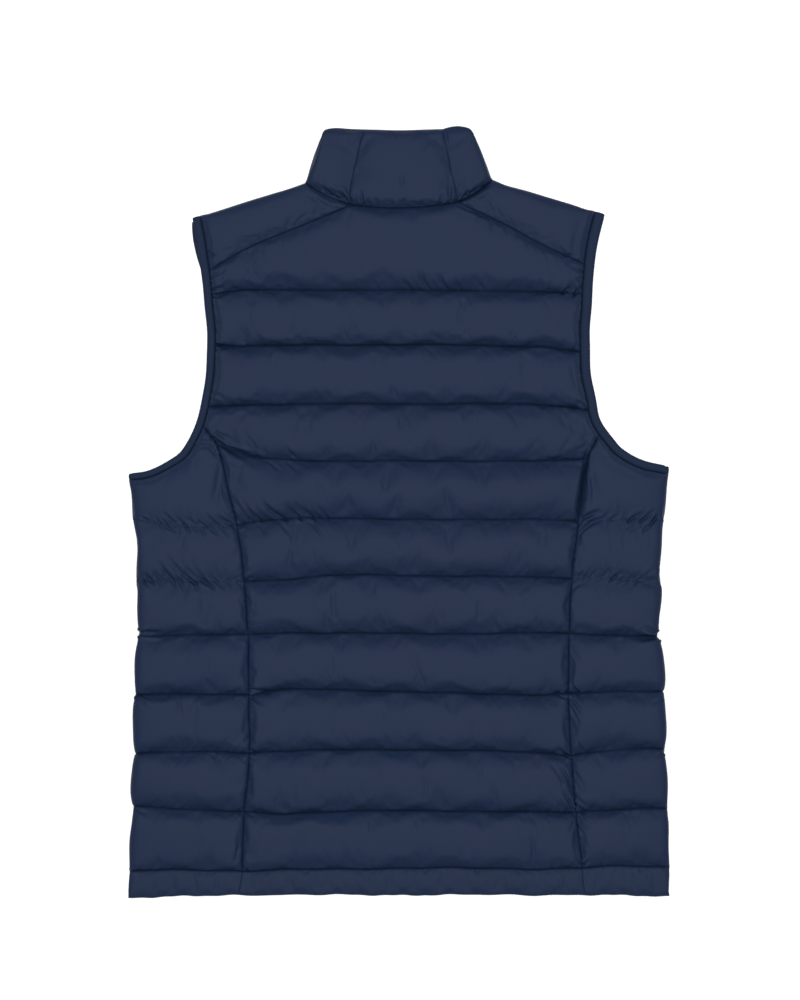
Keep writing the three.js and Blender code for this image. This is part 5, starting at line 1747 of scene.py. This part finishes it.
COLLAR_CREASES = [main_crease(*values) for values in (
    ((-41, 308), (-46, 321), 2.2, 1.2), ((-35, 307), (-41, 323), 2.4, 1.3),
    ((-29, 306), (-33, 317), 2.0, 0.9), ((-21, 305), (-24, 315), 2.0, 0.9),
    ((-6, 304), (-8, 313), 2.2, 0.8), ((4, 304), (5, 314), 2.0, 0.8),
    ((22, 304), (24, 314), 2.0, 0.8), ((40, 306), (44, 318), 2.2, 1.0),
    ((50, 308), (52, 336), 2.2, 1.0), ((56, 309), (60, 322), 2.2, 1.1),
    ((63, 311), (72, 324), 2.6, 1.5), ((70, 315), (78, 323), 2.4, 1.2),
    ((-52, 309), (-62, 323), 2.6, 1.4), ((-60, 312), (-76, 320), 2.8, 1.7),
    ((-68, 316), (-80, 325), 2.4, 1.2), ((-44, 308), (-52, 318), 2.0, 1.0),
    ((-37, 377), (-52, 369), 3.4, 0.6), ((46, 378), (49, 360), 3.4, 0.5),
    ((3, 328), (2, 340), 3.0, 0.5), ((30, 372), (18, 358), 4.5, 0.5),
)]


def back_puckers(panel):
    """Puckers of the back: over and under its quilt lines and beside its side seams."""
    made = []
    for number, row in enumerate(panel.lines):
        run = panel.rest[row, :, :2]
        if row:
            made += puckers("over a back line", run, (0, 1), number, lean_outwards(BACK_LEAN),
                            more_at_ends)
        if row < len(panel.rest) - 1:
            made += puckers("under a back line", run, (0, -1), number,
                            lean_outwards(-BACK_LEAN), more_at_ends)
    for edge, away in ((0, (1, 0)), (-1, (-1, 0))):
        made += puckers("back's side seams", panel.rest[:, edge, :2], away, edge)
    return made


# Small waves of the sewn seams. Columns: size, length, how far the crests wander, and the length
# over which they do, or for the slanting ones size, length and length across
SIDEWAYS_WAVE, SIDEWAYS_SLANT = (0.3, 7.3, 1.7, 41), (0.2, 17.9, 63)
UPWARDS_WAVE, UPWARDS_SLANT = (0.45, 8.7, 2.1, 33), (0.4, 23.3, 27)
HEM_WAVE = (0.25, 4.3, 2.6, 37)
# the zip's strip is straight as far as the first X and waves fully beyond both, the seams above
# this Y wave less, and the hem's own wave begins below its seam
STRAIGHT_STRIP = (25, 20)
CALM_FROM = (180, 60)
CALM_SHARE = 0.3
HEM_FROM = (-370, 12)


def wandering_wave(wave, along, across):
    size, length, far, over = wave
    return size * np.sin(along / length + far * np.sin(across / over))


def slanting_wave(wave, along, across):
    size, length, over = wave
    return size * np.sin(along / length + across / over)


def waver(points):
    """Moves points by the small unevenness of sewn seams, the same wherever two pieces meet.

    The zip's own strip stays straight."""
    x, y = points[..., 0], points[..., 1]
    under = points[..., 2] < MIDDLE_Z
    size = np.where(under, eased((np.abs(x) - STRAIGHT_STRIP[0]) / STRAIGHT_STRIP[1]), 1.0)
    size = size * mix(1.0, CALM_SHARE, eased((y - CALM_FROM[0]) / CALM_FROM[1]))
    sideways = wandering_wave(SIDEWAYS_WAVE, y, x) + slanting_wave(SIDEWAYS_SLANT, y, x)
    upwards = wandering_wave(UPWARDS_WAVE, x, y) + slanting_wave(UPWARDS_SLANT, x, y)
    at_hem = eased((HEM_FROM[0] - y) / HEM_FROM[1])
    upwards = upwards + at_hem * wandering_wave(HEM_WAVE, x, x)
    moved = points.copy()
    moved[..., 0] += size * sideways
    moved[..., 1] += size * upwards
    return moved


def press_side(side, cloth, draws):
    """Creases of a side panel, over the back and then under the front."""
    over, under = slice(0, SIDE_BACK_COLUMNS + 1), slice(SIDE_BACK_COLUMNS + FOLD_STEPS, None)
    sign = side.sign
    creases = MAIN_CREASES + SEAM_DITCH
    for number, row in enumerate(cloth.lines):
        run = cloth.rest[row, over, :2]
        if row:
            if FIRST_SIDE_LINE + number - 1 in WEAK_LINES:
                creases += slashes(run, (1, SLASH_SLOPE * sign), draws + number)
                continue
            creases += puckers("over a side line", run, (0, 1), draws + number,
                               lean_evenly(SIDE_LEANS[0] * sign))
        creases += puckers("under a side line", run, (0, -1), draws + number,
                           lean_evenly(SIDE_LEANS[1] * sign))
    creases += puckers("side's princess seam", cloth.rest[:, 0, :2], (sign, 0), draws)
    press(cloth, creases)
    creases = []
    for number, row in enumerate(cloth.lines[1:]):
        creases += puckers("side's underside", cloth.rest[row, under, :2], (0, 1), draws + number)
    press(cloth, creases, under=True)


def press_shoulder(side, cloth, draws):
    """Creases of a shoulder yoke: along its seam, at its armhole and at its neck."""
    over = slice(0, SHOULDER_BACK_ROWS)
    creases = MAIN_CREASES + NECK_DITCH
    for place, run, away in (
            ("yoke seam", cloth.rest[:, 0, :2], (0, 1)),
            ("shoulder's armhole", cloth.rest[0, over, :2], (-side.sign, 0)),
            ("shoulder's neck", cloth.rest[-1, over, :2], (side.sign, -0.6))):
        creases += puckers(place, run, away, draws)
    press(cloth, creases)


def press_collar(cloth, draws):
    """Creases of a side of the collar, over the back and then along its front neck seam."""
    press(cloth, COLLAR_CREASES + NECK_DITCH)
    neck = cloth.rest[0, COLLAR_SIDE_BACK + FOLD_STEPS:, :2]
    press(cloth, puckers("collar's front neck", neck, (0, 1), draws), under=True)


def press_front(side, cloth, draws):
    """Creases of a front, like those of the back: at its quilt lines and beside the zip."""
    creases = []
    for number, row in enumerate(cloth.lines):
        run = cloth.rest[row, :, :2]
        if row:
            creases += puckers("over a front line", run, (0, 1), draws + number)
        if row < len(cloth.rest) - 1:
            creases += puckers("under a front line", run, (0, -1), draws + number)
    creases += puckers("beside the zip", cloth.rest[:, -1, :2], (side.sign, 0), draws)
    press(cloth, creases, under=True)


def press_hem(side_hem, front_hem, draws):
    """Puckers under the seam of the hem band."""
    top = side_hem.rest[0, :SIDE_BACK_COLUMNS + 1, :2]
    press(side_hem, puckers("side hem's seam", top, (0, -1), draws))
    top = front_hem.rest[0, :, :2]
    press(front_hem, puckers("front hem's seam", top, (0, -1), draws), under=True)


# Everything is built here

back_cloth = back_panel()
collar_cloth = collar_back()
hem_cloth = hem_back()
panels = [back_cloth, collar_cloth, hem_cloth]
sides = {}
for side in (LEFT, RIGHT):
    made = {"side": side_panel(side), "shoulder": shoulder(side), "collar": collar_side(side),
            "front": front_panel(side), "hem_side": hem_side(side), "hem_front": hem_front(side)}
    sides[side.name] = made
    panels += made.values()

for panel in panels:
    panel.outer, panel.inner, panel.rest = (
        waver(points) for points in (panel.outer, panel.inner, panel.rest))

blow_up(panels)

press(back_cloth, MAIN_CREASES + SEAM_DITCH + NECK_DITCH + back_puckers(back_cloth))
press(back_cloth, puckers("under the yokes", TOP_LINE, (0, -1)))
press(collar_cloth, COLLAR_CREASES + NECK_DITCH)
press(hem_cloth, puckers("back hem's seam", hem_cloth.rest[0, :, :2], (0, -1)))
press(hem_cloth, puckers("back hem's edge", hem_cloth.rest[-1, :, :2], (0, 1)))
for side, draws in ((LEFT, 500), (RIGHT, 900)):
    made = sides[side.name]
    press_side(side, made["side"], draws)
    press_shoulder(side, made["shoulder"], draws)
    press_collar(made["collar"], draws)
    press_front(side, made["front"], draws)
    press_hem(made["hem_side"], made["hem_front"], draws)


def crisp_lines(mesh, panel):
    """Lets the cloth turn sharply at its quilt lines, where the stitches pull it in."""
    rows, columns = panel.outer.shape[:2]
    ends = np.empty(len(mesh.edges) * 2, int)
    mesh.edges.foreach_get("vertices", ends)
    first, second = ends.reshape(-1, 2).T
    row = first // columns
    flat = panel.outer.reshape(-1, 3)
    on_back = flat[np.minimum(first, len(flat) - 1), 2] > BACK_INSIDE
    weak = {panel.lines[line - FIRST_SIDE_LINE + 1] for line in WEAK_LINES
            if panel.name.startswith("side_cloth")}
    chosen = [line for line in panel.lines[1:-1] if line not in weak]
    along_row = (row == second // columns) & (second < rows * columns)
    sharp = np.isin(row, chosen) & along_row & on_back
    mesh.attributes.new("sharp_edge", "BOOLEAN", "EDGE").data.foreach_set("value", sharp)


def cloth_piece(panel, node):
    mesh = wall_mesh(panel.name, panel.outer, panel.inner, INNER_STEP)
    piece = add_piece(mesh, NYLON, [node])
    crisp_lines(mesh, panel)
    return piece


for side in (LEFT, RIGHT):
    made = sides[side.name]
    cloth_piece(made["front"], f"front_{side.name}")
    for key, node in (("side", "side_panel"), ("shoulder", "shoulder"), ("collar", "collar"),
                      ("hem_side", "hem_side"), ("hem_front", "hem_front")):
        cloth_piece(made[key], f"{node}_{side.name}")
cloth_piece(back_cloth, "back_panel")
cloth_piece(collar_cloth, "collar_back")
cloth_piece(hem_cloth, "hem_back")

for side in (LEFT, RIGHT):
    mesh, ring = armhole_binding(side)
    tape = add_piece(mesh, TAPE, [f"armhole_binding_{side.name}"])
    # thread along the tape's inner edge, all the way round
    seam = ring[:, BINDING_EDGE]
    away = np.zeros_like(seam)
    away[:, 2] = np.where(seam[:, 2] > BACK_INSIDE, 1.0, -1.0)
    thread = stitches(f"binding_stitches_{side.name}", [(seam, away)], BINDING_STITCH)
    add_piece(thread, SHADED_THREAD)
    add_piece(zip_tape(side), ZIP_CLOTH, [f"zip_tape_{side.name}"], smooth=False)

add_piece(stitches("stitches_back", line_runs(back_cloth)), SHADED_THREAD)
for side in (LEFT, RIGHT):
    for key, kind in (("side", QUILT_STITCH), ("front", FRONT_STITCH)):
        runs = line_runs(sides[side.name][key])
        add_piece(stitches(f"stitches_{key}_{side.name}", runs, kind), SHADED_THREAD)

add_piece(zip_coil(), COIL, ["zip_teeth"])


# how far the zip's metal edges are rounded and how close two corners count as one, in metres,
# and the turn in radians below which two faces are one flat face
METAL_EDGE = 0.0002
SAME_CORNER = 1e-6
FLAT_TURN = 0.02


def rounded_metal(name, node, body):
    """A zip part in its own size, with its edges rounded as cast metal is."""
    work = bmesh.new()
    work.from_mesh(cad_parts[node].data)
    bmesh.ops.remove_doubles(work, verts=work.verts[:], dist=SAME_CORNER)
    bmesh.ops.dissolve_limit(work, angle_limit=FLAT_TURN, verts=work.verts[:],
                             edges=work.edges[:])
    bmesh.ops.bevel(work, geom=work.edges[:], offset=METAL_EDGE, segments=2, profile=0.5,
                    affect="EDGES", clamp_overlap=True)
    mesh = bpy.data.meshes.new(name)
    work.to_mesh(mesh)
    work.free()
    return add_piece(mesh, METAL, [node], body=body, smooth=False)


rounded_metal("slider_body", "zip_slider", "garment")
rounded_metal("slider_pull", "zip_pull", "zip_pull")


# Floor, light and camera, in metres and watts

FLOOR_SIZE = 4.0
FLOOR_DROP = 0.0004
FLOOR_WHITE = (0.9, 0.9, 0.9, 1)
FLOOR_GLOW = 0.45
ROOM_LIGHT = 0.3
# a window beyond the collar and a large lamp overhead: place, size and power
LIGHTS = {
    "window": ((0.0, 1.5, 2.6), (2.4, 1.2), 8),
    "overhead": ((0.0, 0.02, 3.0), (1.7, 1.7), 88),
}


def make_floor():
    work = bmesh.new()
    bmesh.ops.create_grid(work, x_segments=8, y_segments=8, size=FLOOR_SIZE)
    mesh = bpy.data.meshes.new("floor")
    work.to_mesh(mesh)
    work.free()
    floor = bpy.data.objects.new("floor", mesh)
    floor.location.z = -FLOOR_DROP
    bpy.context.scene.collection.objects.link(floor)
    material = bpy.data.materials.new("white_floor")
    material.use_nodes = True
    shader = material.node_tree.nodes["Principled BSDF"]
    shader.inputs["Base Color"].default_value = FLOOR_WHITE
    shader.inputs["Roughness"].default_value = 0.9
    shader.inputs["Specular IOR Level"].default_value = 0.1
    shader.inputs["Emission Color"].default_value = (1, 1, 1, 1)
    shader.inputs["Emission Strength"].default_value = FLOOR_GLOW
    mesh.materials.append(material)


def area_light(name, place, size, power):
    """A light over the middle line of the vest, turned towards the vest's middle."""
    data = bpy.data.lights.new(name, "AREA")
    data.shape = "RECTANGLE"
    data.size, data.size_y = size
    data.energy = power
    light = bpy.data.objects.new(name, data)
    light.location = place
    light.rotation_euler.x = -math.atan2(place[1], place[2])
    bpy.context.scene.collection.objects.link(light)


make_floor()
for name, values in LIGHTS.items():
    area_light(name, *values)

world = bpy.data.worlds.new("studio")
world.use_nodes = True
background = world.node_tree.nodes["Background"]
background.inputs["Color"].default_value = (1, 1, 1, 1)
background.inputs["Strength"].default_value = ROOM_LIGHT
bpy.context.scene.world = world
bpy.context.scene.view_settings.view_transform = "Standard"

camera_data = bpy.data.cameras.new("camera")
camera_data.lens = CAMERA_LENS
camera_data.sensor_width = 36.0
camera_data.clip_end = 20.0
camera = bpy.data.objects.new("camera", camera_data)
camera.location = (*CAMERA_AT, CAMERA_HEIGHT)
bpy.context.scene.collection.objects.link(camera)
bpy.context.scene.camera = camera
